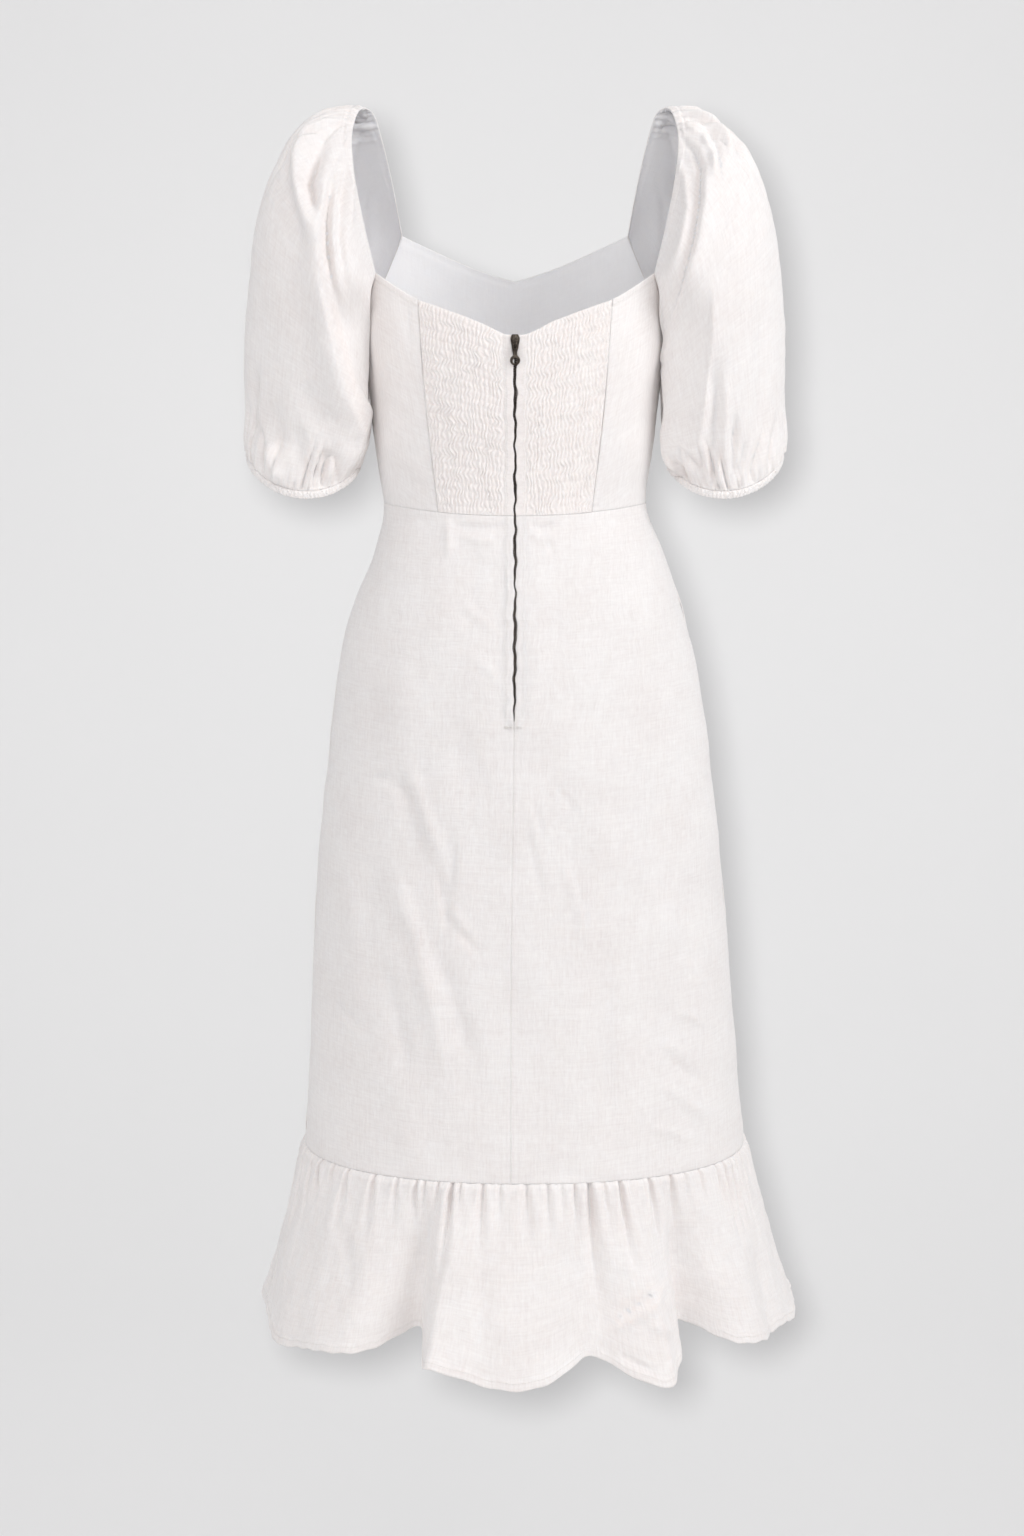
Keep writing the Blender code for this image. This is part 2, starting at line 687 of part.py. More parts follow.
def sleeve_curve(way, along):
    """Point of the smooth sleeve between its head and its cuff, before gathers and folds."""
    angle = 2.0 * math.pi * way
    top = 0.5 - 0.5 * math.cos(angle)
    back = math.sin(angle)
    head = sleeve_head(way, 0.0)
    cuff = cuff_point(way, 0.0)
    head_out, head_up = NEAR_HEAD["out"], NEAR_HEAD["up"]
    cuff_out, cuff_up = NEAR_CUFF["out"], NEAR_CUFF["up"]
    first = (
        head[0] + head_out[0] + head_out[1] * top**2.0,
        head[1] + NEAR_HEAD["along_y"] * back,
        head[2] + head_up[0] + head_up[1] * top,
    )
    second = (
        cuff[0] + cuff_out[0] + cuff_out[1] * top + cuff_out[2] * back * back,
        cuff[1] + NEAR_CUFF["along_y"] * back,
        cuff[2] + cuff_up[0] + cuff_up[1] * top + cuff_up[2] * back * back,
    )
    rest = 1.0 - along
    weights = (rest**3, 3 * rest * rest * along, 3 * rest * along * along, along**3)
    return [
        sum(weight * point[axis] for weight, point in zip(weights, (head, first, second, cuff)))
        for axis in range(3)
    ]


def sleeve_normal(way, along):
    """Outward direction of the smooth sleeve."""
    low, high = max(0.0, along - NORMAL_STEP), min(1.0, along + NORMAL_STEP)
    down = [b - a for a, b in zip(sleeve_curve(way, low), sleeve_curve(way, high))]
    before = sleeve_curve((way - NORMAL_STEP) % 1.0, along)
    after = sleeve_curve((way + NORMAL_STEP) % 1.0, along)
    round_it = [b - a for a, b in zip(before, after)]
    normal = (
        down[1] * round_it[2] - down[2] * round_it[1],
        down[2] * round_it[0] - down[0] * round_it[2],
        down[0] * round_it[1] - down[1] * round_it[0],
    )
    length = math.hypot(*normal)
    return [part / length for part in normal]


def sleeve_relief(way, along):
    """How far gathers and folds move the sleeve's surface outwards."""
    at_shoulder = 1.0 - smooth(*SHOULDER_GATHER_SIDES, abs(way - 0.5))
    at_shoulder *= 1.0 - smooth(*SHOULDER_GATHER_LENGTH, along)
    pleats = SHOULDER_GATHERS * (way - 0.5) / SHOULDER_GATHER_SPAN
    relief = SHOULDER_GATHER_DEPTH * at_shoulder * math.cos(2.0 * math.pi * pleats)
    cuff_wave = math.cos(2.0 * math.pi * CUFF_GATHERS * way)
    relief += CUFF_GATHER_DEPTH * cuff_wave * smooth(*CUFF_GATHER_RISE, along)
    for way_a, along_a, way_b, along_b, width, height in SLEEVE_FOLDS:
        relief += height * ridge((way, along), (way_a, along_a), (way_b, along_b), width)
    return relief


def clear_of_bodice(point, inset):
    """The point, moved out sideways where the sleeve would touch the bodice's side."""
    x, y, z = point
    width, front, back, _ = body_size(z)
    depth = front if y > 0.0 else back
    share = min(1.0, abs(y) / depth)
    edge = width * (1.0 - share**ROUNDNESS) ** (1.0 / ROUNDNESS)
    return (max(x, edge + SLEEVE_CLEARANCE + inset), y, z)


def sleeve_point(way, along, inset):
    if along == 0.0:
        return sleeve_head(way, inset)
    if along == 1.0:
        x, y, z = cuff_point(way, inset)
        return (x, y, z + SEAM_GAP)
    point = sleeve_curve(way, along)
    normal = sleeve_normal(way, along)
    ends = smooth(0.0, 0.05, along) * (1.0 - smooth(0.96, 1.0, along))
    out = sleeve_relief(way, along) * ends - inset
    moved = [part + out * across for part, across in zip(point, normal)]
    return clear_of_bodice(moved, inset)


def sleeve_ways():
    """Places round the sleeve, with the bodice's own columns along the armhole."""
    first, last = SLEEVE_NECK_EDGE[0][0], SLEEVE_NECK_EDGE[-1][0]
    back = spread(0.0, first, COLUMNS_ARMHOLE)
    neck = spread(first, last, COLUMNS_SLEEVE_NECK)
    return back[:-1] + neck[:-1] + spread(last, 1.0, COLUMNS_ARMHOLE)[:-1]


def sleeve(name, side):
    """Puff sleeve: a tube from the armhole and the free neck edge to the cuff."""

    def grid(inset):
        return [
            [mirror(sleeve_point(way, along, inset), side) for way in sleeve_ways()]
            for along in SLEEVE_STEPS
        ]

    return wall(name, grid(0.0), grid(CLOTH), LINEN, closed=True)


def mirror(point, side):
    return (side * point[0], point[1], point[2])


def sleeve_cuff(name, side):
    """Narrow elastic casing at the sleeve's end, slightly wavy along its lower edge."""

    def grid(inset):
        rows = []
        for down, wave in CUFF_ROWS:
            row = []
            for c, way in enumerate(sleeve_ways()):
                puff = wave * CUFF_PUFFS[(c + 1) % 2]
                row.append(mirror(cuff_point(way, inset - puff, down * CUFF_HEIGHT), side))
            rows.append(row)
        return rows

    return wall(name, grid(0.0), grid(CLOTH), LINEN, closed=True)


# Zip


def zip_line(z):
    """x of the middle of the zip at a height."""
    return centre_back(z)


def on_back(x, z, inset):
    return body_point(turn_at(x, z), z, inset)


def zip_rows(top, bottom):
    """Heights down the zip: the rows of the cloth that it lies on, between top and bottom."""
    waist = waist_z(0.0)
    skirt = [waist + (RUFFLE_SEAM_Z - waist) * step for step in SKIRT_STEPS]
    rows = spread(BACK_NECK[0][1], waist, 2 * SMOCK_ROWS)[::2] + skirt[1:]
    return [top] + [z for z in rows if bottom + 0.002 < z < top - 0.002] + [bottom]


def zip_tape(name, side):
    """One tape of the zip, behind the folded edge of the opening."""
    rows = zip_rows(ZIP_TOP_Z - 0.002, ZIP_BOTTOM_Z - 0.012)
    behind = CLOTH + TAPE_GAP

    def grid(inset):
        return [
            [
                on_back(zip_line(z) + side * (0.5 * SEAM_GAP + TAPE_WIDTH * c / 2), z, inset)
                for c in range(3)
            ]
            for z in rows
        ]

    return wall(name, grid(behind), grid(behind + TAPE_THICKNESS), TAPE_CLOTH)


def zip_chain():
    """The two closed rows of teeth as one strip that stands on the tapes."""
    rows = zip_rows(ZIP_TOP_Z - 0.003, ZIP_BOTTOM_Z)

    def grid(inset):
        return [
            [on_back(zip_line(z) + CHAIN_WIDTH * (c - 0.5), z, inset) for c in (0, 1)]
            for z in rows
        ]

    seat = CLOTH + TAPE_GAP - SEAM_GAP
    return wall("zip_chain", grid(seat - CHAIN_THICKNESS), grid(seat), DARK_METAL)


def slider_face():
    """y of the slider's back and z of its middle."""
    middle = ZIP_TOP_Z - 0.5 * SLIDER_HEIGHT
    outermost = max(-on_back(zip_line(z), z, 0.0)[1] for z in (ZIP_TOP_Z, ZIP_TOP_Z - SLIDER_HEIGHT))
    return -outermost - SEAM_GAP, middle


def outline_solid(name, outlines, thickness, finish):
    """A flat piece in the XZ plane from closed outlines of (x, z): the first, less the others."""
    curve = bpy.data.curves.new(name, "CURVE")
    curve.dimensions = "2D"
    curve.fill_mode = "BOTH"
    curve.extrude = 0.5 * thickness
    for outline in outlines:
        spline = curve.splines.new("POLY")
        spline.points.add(len(outline) - 1)
        for point, (x, z) in zip(spline.points, outline):
            point.co = (x, z, 0.0, 1.0)
        spline.use_cyclic_u = True
    flat = bpy.data.objects.new(name + "_outline", curve)
    bpy.data.collections[COLLECTION].objects.link(flat)
    bpy.context.view_layer.update()
    graph = bpy.context.evaluated_depsgraph_get()
    mesh = bpy.data.meshes.new_from_object(flat.evaluated_get(graph))
    bpy.data.objects.remove(flat)
    cage = bmesh.new()
    cage.from_mesh(mesh)
    bmesh.ops.remove_doubles(cage, verts=cage.verts, dist=1e-6)
    bmesh.ops.recalc_face_normals(cage, faces=cage.faces)
    cage.to_mesh(mesh)
    cage.free()
    mesh.name = name
    mesh.materials.clear()
    mesh.materials.append(material(finish))
    made = bpy.data.objects.new(name, mesh)
    made.rotation_euler = (math.radians(90.0), 0.0, 0.0)
    bpy.data.collections[COLLECTION].objects.link(made)
    return made


def zip_slider():
    """Tapered slider plate with a half ring of wire as its bridge."""
    back_y, middle = slider_face()
    half, tall = 0.5 * SLIDER_WIDTH, 0.5 * SLIDER_HEIGHT
    right = [(0.5 * SLIDER_WAIST, -tall)]
    right += [(half * across, tall * up) for across, up in SLIDER_SHOULDERS]
    left = [(-x, z) for x, z in reversed(right)]
    plate = outline_solid("zip_slider", [right + left], SLIDER_THICKNESS, DARK_METAL)
    plate.location = (zip_line(middle), back_y - 0.5 * SLIDER_THICKNESS, middle)
    edges = plate.modifiers.new("rounded", "BEVEL")
    edges.width = SLIDER_ROUNDING
    edges.segments = 1
    bridge = bpy.data.objects.new("bridge", half_ring())
    bridge.location = pull_axis()
    bpy.data.collections[COLLECTION].objects.link(bridge)
    bpy.context.view_layer.update()
    graph = bpy.context.evaluated_depsgraph_get()
    mesh = bpy.data.meshes.new_from_object(bridge.evaluated_get(graph))
    cage = bmesh.new()
    cage.from_mesh(mesh)
    bmesh.ops.remove_doubles(cage, verts=cage.verts, dist=1e-6)
    bmesh.ops.recalc_face_normals(cage, faces=cage.faces)
    cage.to_mesh(mesh)
    cage.free()
    wire = bpy.data.objects.new("bridge_wire", mesh)
    wire.matrix_world = bridge.matrix_world
    bpy.data.objects.remove(bridge)
    bpy.data.collections[CUTTERS].objects.link(wire)
    wire.hide_render = True
    wire.display_type = "WIRE"
    join = plate.modifiers.new("bridge", "BOOLEAN")
    join.operation = "UNION"
    join.object = wire
    return plate


def half_ring():
    """Wire that stands out from the slider's face round the pull tab's axis."""
    curve = bpy.data.curves.new("bridge_route", "CURVE")
    curve.dimensions = "3D"
    curve.bevel_depth = BRIDGE_WIRE
    curve.bevel_resolution = 1
    curve.use_fill_caps = True
    sink = math.radians(BRIDGE_SINK)
    spline = curve.splines.new("POLY")
    spline.points.add(BRIDGE_STEPS)
    for i, point in enumerate(spline.points):
        angle = -0.5 * math.pi - sink + (math.pi + 2.0 * sink) * i / BRIDGE_STEPS
        point.co = (0.0, -BRIDGE_RADIUS * math.cos(angle), BRIDGE_RADIUS * math.sin(angle), 1.0)
    return curve


def pull_axis():
    """Where the pull tab turns on the bridge, about X."""
    back_y, _ = slider_face()
    z = ZIP_TOP_Z - PULL_AXIS_DROP
    return (zip_line(z), back_y - SLIDER_THICKNESS - PULL_AXIS_STAND, z)


def arc(centre_z, radius, start, end, steps):
    """Points of an arc in the XZ plane, from one angle in degrees to another."""
    return [
        (
            radius * math.cos(math.radians(start + (end - start) * i / steps)),
            centre_z + radius * math.sin(math.radians(start + (end - start) * i / steps)),
        )
        for i in range(steps + 1)
    ]


def zip_pull_tab():
    """Flat tab with a slot for the bridge, a narrow neck and a round end with a hole."""
    end_z = TAB_END_RADIUS - TAB_LENGTH
    bar = 0.5 * TAB_THICKNESS
    right = [(TAB_SIDE[0][0], bar), *TAB_SIDE]
    left = [(-x, z) for x, z in reversed(right)]
    round_end = arc(end_z, TAB_END_RADIUS, 60.0, -240.0, 14)
    half, low = TAB_WINDOW
    slot = [(-half, -bar), (half, -bar), (half, low), (-half, low)]
    hole = arc(end_z - TAB_HOLE_DROP, TAB_HOLE_RADIUS, 0.0, 324.0, 9)
    tab = outline_solid(
        "zip_pull_tab", [right + round_end + left, slot, hole], TAB_THICKNESS, DARK_METAL
    )
    tab.location = pull_axis()
    return tab


def main():
    for old in list(bpy.data.objects):
        bpy.data.objects.remove(old)
    for name in (COLLECTION, CUTTERS):
        group = bpy.data.collections.new(name)
        bpy.context.scene.collection.children.link(group)
    front_bodice()
    skirt_front()
    ruffle("ruffle_back", -90.0)
    ruffle("ruffle_front", 90.0)
    for word, side in (("left", -1), ("right", 1)):
        side_panel(f"back_side_panel_{word}", side)
        smocked_panel(f"back_smocked_panel_{word}", side)
        sleeve(f"sleeve_{word}", side)
        sleeve_cuff(f"sleeve_cuff_{word}", side)
        skirt_back(f"skirt_back_{word}", side)
        zip_tape(f"zip_tape_{word}", side)
    zip_chain()
    zip_slider()
    zip_pull_tab()


main()
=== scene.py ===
"""Looks of the puff sleeve midi dress: washed linen, shirring, gathers, stitching and a dark zip.

Metres, +Z up, and the back of the dress faces -Y. Every piece of cloth is a thin shell made from
the sizes of its solid, with its folds laid in one by one.
"""

import logging
import math
import random
from collections.abc import Iterator, Sequence
from contextlib import contextmanager
from dataclasses import dataclass
from enum import Enum

import bpy
import numpy as np
from mathutils import Matrix, Vector, noise


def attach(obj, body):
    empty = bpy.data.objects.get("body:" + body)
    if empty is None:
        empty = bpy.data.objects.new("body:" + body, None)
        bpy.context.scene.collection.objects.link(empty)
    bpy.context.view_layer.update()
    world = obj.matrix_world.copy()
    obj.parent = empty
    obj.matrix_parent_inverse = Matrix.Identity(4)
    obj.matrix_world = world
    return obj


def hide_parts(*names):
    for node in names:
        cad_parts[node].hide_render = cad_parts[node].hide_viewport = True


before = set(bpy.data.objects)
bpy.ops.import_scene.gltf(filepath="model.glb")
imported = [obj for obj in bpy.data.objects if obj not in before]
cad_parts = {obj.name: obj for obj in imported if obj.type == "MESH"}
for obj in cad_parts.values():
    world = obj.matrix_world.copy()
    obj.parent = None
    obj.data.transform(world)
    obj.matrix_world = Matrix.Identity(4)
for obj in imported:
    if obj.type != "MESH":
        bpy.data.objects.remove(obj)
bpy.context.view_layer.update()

logging.basicConfig(level=logging.INFO, format="%(message)s")
log = logging.getLogger("dress")

Array = np.ndarray
Place = tuple[float, float]
Table = tuple[tuple[float, ...], ...]

DRESS = "dress"
PULL_TAB = "pull_tab"
CLOTH_THICKNESS = 0.0009
SEAM_LAP = 0.0012
SEAM_GAP = 0.0003  # edge of the cloth to the middle of its seam
WEAVE_MAP = "weave"
UPRIGHT = np.array([0.0, 0.0, 1.0])


# Curves


def ease(low: float, high: float, value: Array | float) -> Array:
    """A soft step.

    Args:
        low: Value where the step starts.
        high: Value where it is done. It may be the lower of the two.
        value: Values to read it at.

    Returns:
        0 before low, 1 after high, and an even curve between.
    """
    share = np.clip((value - low) / (high - low), 0.0, 1.0)
    return share * share * (3.0 - 2.0 * share)


def bell(distance: Array, width: float) -> Array:
    """1 at a distance of 0, and fading over this width."""
    return np.exp(-((distance / width) ** 2))


def read_table(table: Table, at: Array | float, column: int = 1) -> Array:
    """A column of a table on a smooth curve through its rows.

    Args:
        table: Rows whose first value is where they hold.
        at: Where to read it.
        column: The column to read.

    Returns:
        The values there, with no overshoot between rows.
    """
    rows = np.array(sorted(table), float)
    keys, values = rows[:, 0], rows[:, column]
    rises = np.diff(values)
    slopes = np.empty(len(keys))
    slopes[0] = rises[0] / (keys[1] - keys[0])
    slopes[-1] = rises[-1] / (keys[-1] - keys[-2])
    slopes[1:-1] = np.where(
        rises[:-1] * rises[1:] <= 0.0, 0.0, (values[2:] - values[:-2]) / (keys[2:] - keys[:-2])
    )
    at = np.clip(np.asarray(at, float), keys[0], keys[-1])
    i = np.clip(np.searchsorted(keys, at, side="right") - 1, 0, len(keys) - 2)
    step = keys[i + 1] - keys[i]
    share = (at - keys[i]) / step
    square, cube = share**2, share**3
    return (
        (2 * cube - 3 * square + 1) * values[i] + (cube - 2 * square + share) * step * slopes[i]
        + (3 * square - 2 * cube) * values[i + 1] + (cube - square) * step * slopes[i + 1]
    )


def graded(count: int, crowding: float = 0.6) -> Array:
    """Shares from 0 to 1 in this many steps, which crowd towards both ends."""
    even = np.linspace(0.0, 1.0, count + 1)
    return even - crowding * np.sin(math.tau * even) / (math.tau)


def mottle(u: Array, v: Array, size: float, seed: float) -> Array:
    """Soft unevenness between about -1 and 1.

    Args:
        u: Places across the cloth.
        v: Places down the cloth.
        size: Size of its humps, in the units of u and v.
        seed: Any number, for a pattern of its own.

    Returns:
        The unevenness at each place.
    """
    u, v = np.broadcast_arrays(u, v)
    values = [
        noise.noise(Vector((a, b, seed)))
        for a, b in zip((u / size).ravel().tolist(), (v / size).ravel().tolist())
    ]
    return 2.0 * np.array(values).reshape(u.shape)


def run_along(points: Array, axis: int) -> Array:
    """Length from the first point of a grid to each one, along one of its axes."""
    steps = np.linalg.norm(np.diff(points, axis=axis), axis=2)
    start = np.zeros_like(np.take(steps, [0], axis=axis))
    return np.concatenate([start, np.cumsum(steps, axis=axis)], axis=axis)


@dataclass(frozen=True)
class Fold:
    """A fold along a line of places seen square on from behind or in front of the dress.

    Attributes:
        path: Its x and z, from one end to the other.
        height: How far it stands out. A trough has a height below 0.
        left: Softness of its side to the left of its path, looking along it from above.
        right: Softness of its other side. A small one makes a sharp edge.
    """

    path: tuple[Place, ...]
    height: float
    left: float = 0.006
    right: float = 0.006

    def relief(self, x: Array, z: Array) -> Array:
        """How far the fold moves the cloth out at these places."""
        line = np.array(self.path, float)
        reach = 3.0 * max(self.left, self.right)
        low, high = line.min(axis=0) - reach, line.max(axis=0) + reach
        near = (x > low[0]) & (x < high[0]) & (z > low[1]) & (z < high[1])
        total = np.zeros(x.shape)
        if not near.any():
            return total
        places = np.stack([x[near], z[near]], axis=-1)
        lengths = np.linalg.norm(np.diff(line, axis=0), axis=1)
        starts = np.concatenate([[0.0], np.cumsum(lengths)])
        best = np.full(len(places), np.inf)
        side = np.zeros(len(places))
        along = np.zeros(len(places))
        for i, length in enumerate(lengths):
            way = (line[i + 1] - line[i]) / length
            offset = places - line[i]
            run = np.clip(offset @ way, 0.0, length)
            distance = np.linalg.norm(offset - run[:, None] * way, axis=1)
            closer = distance < best
            best = np.where(closer, distance, best)
            side = np.where(closer, offset[:, 0] * way[1] - offset[:, 1] * way[0], side)
            along = np.where(closer, (starts[i] + run) / starts[-1], along)
        soft = np.where(side > 0.0, self.left, self.right)
        fade = ease(-0.12, 0.3, along) * (1.0 - ease(0.7, 1.12, along))
        total[near] = self.height * fade * np.exp(-((best / soft) ** 2))
        return total


def millimetres(*rows: tuple[float, ...]) -> Table:
    """A table in metres from rows in millimetres."""
    return tuple(tuple(value / 1000.0 for value in row) for row in rows)


def folds(*rows: tuple[float, ...]) -> tuple[Fold, ...]:
    """Folds from rows in mm: height, left, right, then x and z of each place on the path."""
    return tuple(Fold(tuple(zip(row[3::2], row[4::2])), *row[:3]) for row in millimetres(*rows))


def all_folds(folds: Sequence[Fold], x: Array, z: Array) -> Array:
    """Sum of the relief of several folds."""
    return sum((fold.relief(x, z) for fold in folds), np.zeros(np.shape(x)))


# Finishes


def colour(hex_value: str) -> tuple[float, float, float, float]:
    """Linear colour of an sRGB hex value such as #F4F1EE."""
    parts = [int(hex_value[i : i + 2], 16) / 255.0 for i in (1, 3, 5)]
    linear = [p / 12.92 if p <= 0.04045 else ((p + 0.055) / 1.055) ** 2.4 for p in parts]
    return (*linear, 1.0)


def connect(tree: bpy.types.NodeTree, node: bpy.types.Node, links: dict) -> None:
    """Link a node's inputs to the output sockets given for them, or set them to a value."""
    for name, value in links.items():
        if isinstance(value, bpy.types.NodeSocket):
            tree.links.new(value, node.inputs[name])
        else:
            node.inputs[name].default_value = value


def add_node(
    tree: bpy.types.NodeTree, kind: str, links: dict, out: int | str = 0, **settings: object
) -> bpy.types.NodeSocket:
    """Add a node.

    Args:
        tree: The tree that it goes into.
        kind: Its type name after ShaderNode.
        links: For each input by name or number, an output socket to link or a value to set.
        out: The output to return.
        settings: Values of its properties.

    Returns:
        The output socket.
    """
    node = tree.nodes.new("ShaderNode" + kind)
    for name, value in settings.items():
        setattr(node, name, value)
    connect(tree, node, links)
    return node.outputs[out]


@dataclass(frozen=True)
class Finish:
    """A finish whose pattern mixes two close colours."""

    name: str
    light: str
    shade: str

    def new(self) -> tuple[bpy.types.Material, bpy.types.NodeTree]:
        """An empty material and its nodes."""
        made = bpy.data.materials.new(self.name)
        made.use_nodes = True
        return made, made.node_tree

    def mixed(self, tree: bpy.types.NodeTree, factor: bpy.types.NodeSocket, inputs: dict) -> None:
        """Mix the two colours by a factor and set the shader's other inputs.

        Args:
            tree: The material's nodes.
            factor: 0 for the shade, 1 for the light colour.
            inputs: The shader's other inputs by name.
        """
        colours = {"Factor": factor, 6: colour(self.shade), 7: colour(self.light)}
        tint = add_node(tree, "Mix", colours, 2, data_type="RGBA")
        connect(tree, tree.nodes["Principled BSDF"], {"Base Color": tint, **inputs})


@dataclass(frozen=True)
class Linen(Finish):
    """Washed plain weave linen: matt and a little fuzzy, with thick places in its threads.

    Real threads lie about 0.5 mm apart, too fine to show, so the weave is drawn three times as
    coarse. Its thick places, the slubs, have their real length.
    """

    light: str = "#FAF7F5"
    shade: str = "#E2DBD9"
    thread_mm: Place = (1.5, 9.0)  # across and along
    slub_mm: Place = (2.6, 42.0)
    thread_weights: Place = (1.3, 0.9)  # of warp and weft
    slub_weights: Place = (1.1, 0.8)
    cloud_mm: float = 55.0
    relief_mm: float = 0.3

    def material(self) -> bpy.types.Material:
        """The finish as a material on the weave map."""
        made, tree = self.new()
        place = add_node(tree, "UVMap", {}, uv_map=WEAVE_MAP)
        total, whole = 0.0, 0.0
        for size, weights in (
            (self.thread_mm, self.thread_weights), (self.slub_mm, self.slub_weights)
        ):
            for sizes, weight in zip((size, size[::-1]), weights):
                scale = (1000.0 / sizes[0], 1000.0 / sizes[1], 1.0)
                spread = add_node(tree, "Mapping", {"Vector": place, "Scale": scale})
                noise_inputs = {"Vector": spread, "Scale": 1.0, "Detail": 2.0, "Roughness": 0.55}
                streak = add_node(tree, "TexNoise", noise_inputs, "Fac")
                sum_inputs = {0: streak, 1: weight, 2: total}
                total = add_node(tree, "Math", sum_inputs, operation="MULTIPLY_ADD")
                whole += weight
        span = {"Value": total, "From Min": 0.34 * whole, "From Max": 0.66 * whole}
        weave = add_node(tree, "MapRange", span)
        scale = (1000.0 / self.cloud_mm,) * 3
        spread = add_node(tree, "Mapping", {"Vector": place, "Scale": scale})
        cloud = add_node(tree, "TexNoise", {"Vector": spread, "Scale": 1.0, "Detail": 3.0}, "Fac")
        threads = add_node(tree, "Math", {0: weave, 1: 0.6}, operation="MULTIPLY")
        tone_inputs = {0: cloud, 1: 0.5, 2: threads}
        tone = add_node(tree, "Math", tone_inputs, operation="MULTIPLY_ADD", use_clamp=True)
        relief = {"Height": weave, "Distance": 0.001 * self.relief_mm, "Strength": 0.55}
        inputs = {
            "Normal": add_node(tree, "Bump", relief),
            "Roughness": 0.92,
            "Specular IOR Level": 0.25,
            "Sheen Weight": 0.12,
            "Sheen Roughness": 0.5,
            # thin cloth that lets light through
            "Subsurface Weight": 0.85,
            "Subsurface Radius": (1.0, 0.96, 0.92),
            "Subsurface Scale": 0.0016,
        }
        self.mixed(tree, tone, inputs)
        return made


@dataclass(frozen=True)
class AntiqueBrass(Finish):
    """Darkened brass of a zip: dull brown black, worn to bare metal in specks."""

    name: str = "antique_brass_darkened"
    light: str = "#7D756A"
    shade: str = "#332E2A"
    speck_mm: float = 0.8

    def material(self) -> bpy.types.Material:
        """The finish as a material on the piece's own place."""
        made, tree = self.new()
        place = add_node(tree, "TexCoord", {}, "Object")
        noise_inputs = {"Vector": place, "Scale": 1000.0 / self.speck_mm, "Detail": 2.0}
        specks = add_node(tree, "TexNoise", noise_inputs, "Fac")
        wear = add_node(tree, "MapRange", {"Value": specks, "From Min": 0.5, "From Max": 0.75})
        gloss = add_node(tree, "MapRange", {"Value": specks, "To Min": 0.5, "To Max": 0.28})
        self.mixed(tree, wear, {"Roughness": gloss, "Metallic": 1.0})
        return made


@dataclass(frozen=True)
class ZipTapeWeave(Finish):
    """Woven polyester tape: flat, matt and closely ribbed across.

    Real ribs lie about 0.6 mm apart, too fine to show, so they are drawn six times as coarse.
    """

    name: str = "zip_tape_weave"
    light: str = "#F0EDEA"
    shade: str = "#CFC8C3"
    rib_mm: float = 3.768

    def material(self) -> bpy.types.Material:
        """The finish as a material on the piece's own place."""
        made, tree = self.new()
        place = add_node(tree, "TexCoord", {}, "Object")
        # a wave's bands repeat every pi / 10 of its scaled length
        waves = {"Vector": place, "Scale": 100.0 * math.pi / self.rib_mm, "Distortion": 0.3}
        ribs = add_node(tree, "TexWave", waves, "Fac", bands_direction="Z")
        bump = add_node(tree, "Bump", {"Height": ribs, "Distance": 0.0001, "Strength": 0.5})
        self.mixed(tree, ribs, {"Normal": bump, "Roughness": 0.8})
        return made


@dataclass(frozen=True)
class PlainFinish(Finish):
    """A smooth finish with a faint cloudiness: twisted sewing thread, or backdrop paper."""

    grain_m: float
    detail: float
    inputs: tuple[tuple[str, float], ...]

    def material(self) -> bpy.types.Material:
        """The finish as a material on the piece's own place."""
        made, tree = self.new()
        place = add_node(tree, "TexCoord", {}, "Object")
        noise_inputs = {"Vector": place, "Scale": 1.0 / self.grain_m, "Detail": self.detail}
        self.mixed(tree, add_node(tree, "TexNoise", noise_inputs, "Fac"), dict(self.inputs))
        return made


# polyester sewing thread: smooth, with a slight shine, twisted every 0.4 mm
SEWING_THREAD = PlainFinish(
    "sewing_thread", "#F7F5F3", "#DDD7D2", 0.0004, 2.0, (("Roughness", 0.55),)
)
# matt uncoated paper with no shine
BACKDROP_PAPER = PlainFinish(
    "backdrop_paper", "#DEDEDE", "#DCDCDC", 0.5, 2.0,
    (("Roughness", 1.0), ("Specular IOR Level", 0.0))
)


@dataclass(frozen=True)
class Finishes:
    """The dress's materials, made once."""

    outside: bpy.types.Material
    # the same linen painted lighter and cooler: painted light on the inside of the shell, which
    # lies in shade
    inside: bpy.types.Material
    brass: bpy.types.Material
    tape: bpy.types.Material
    thread: bpy.types.Material


def make_finishes() -> Finishes:
    """Make every finish of the dress."""
    return Finishes(
        outside=Linen("washed_linen").material(),
        # painted light: the inside copy of the linen is lighter and cooler than the outside, to
        # lighten the shaded inside of the shell
        inside=Linen("washed_linen_inside", "#FBFAFC", "#F3F1F4").material(),
        brass=AntiqueBrass().material(), tape=ZipTapeWeave().material(),
        thread=SEWING_THREAD.material()
    )


# Modelling


def new_object(name: str, data: bpy.types.ID) -> bpy.types.Object:
    """A new object in the scene."""
    made = bpy.data.objects.new(name, data)
    bpy.context.scene.collection.objects.link(made)
    return made


def select_only(*pieces: bpy.types.Object) -> None:
    """Select these objects and no others, and make the first of them active."""
    bpy.ops.object.select_all(action="DESELECT")
    for piece in pieces:
        piece.select_set(True)
    if pieces:
        bpy.context.view_layer.objects.active = pieces[0]


@contextmanager
def edit_mode() -> Iterator[None]:
    """Edit mode on the active object, with all of its mesh selected."""
    bpy.ops.object.mode_set(mode="EDIT")
    bpy.ops.mesh.select_all(action="SELECT")
    yield
    bpy.ops.object.mode_set(mode="OBJECT")


def apply_place() -> None:
    """Apply the place of all that is selected to its mesh."""
    bpy.ops.object.transform_apply(location=True, rotation=True, scale=True)


# Cloth


class Held(Enum):
    """How a piece of cloth is held."""

    HUNG = "hung"
    GATHERED = "gathered"
    STRETCHED = "stretched"


class Side(Enum):
    """Left or right, seen from behind."""

    LEFT = -1
    RIGHT = 1

    @property
    def word(self) -> str:
        """The side's name as part of a piece's name."""
        return self.name.lower()


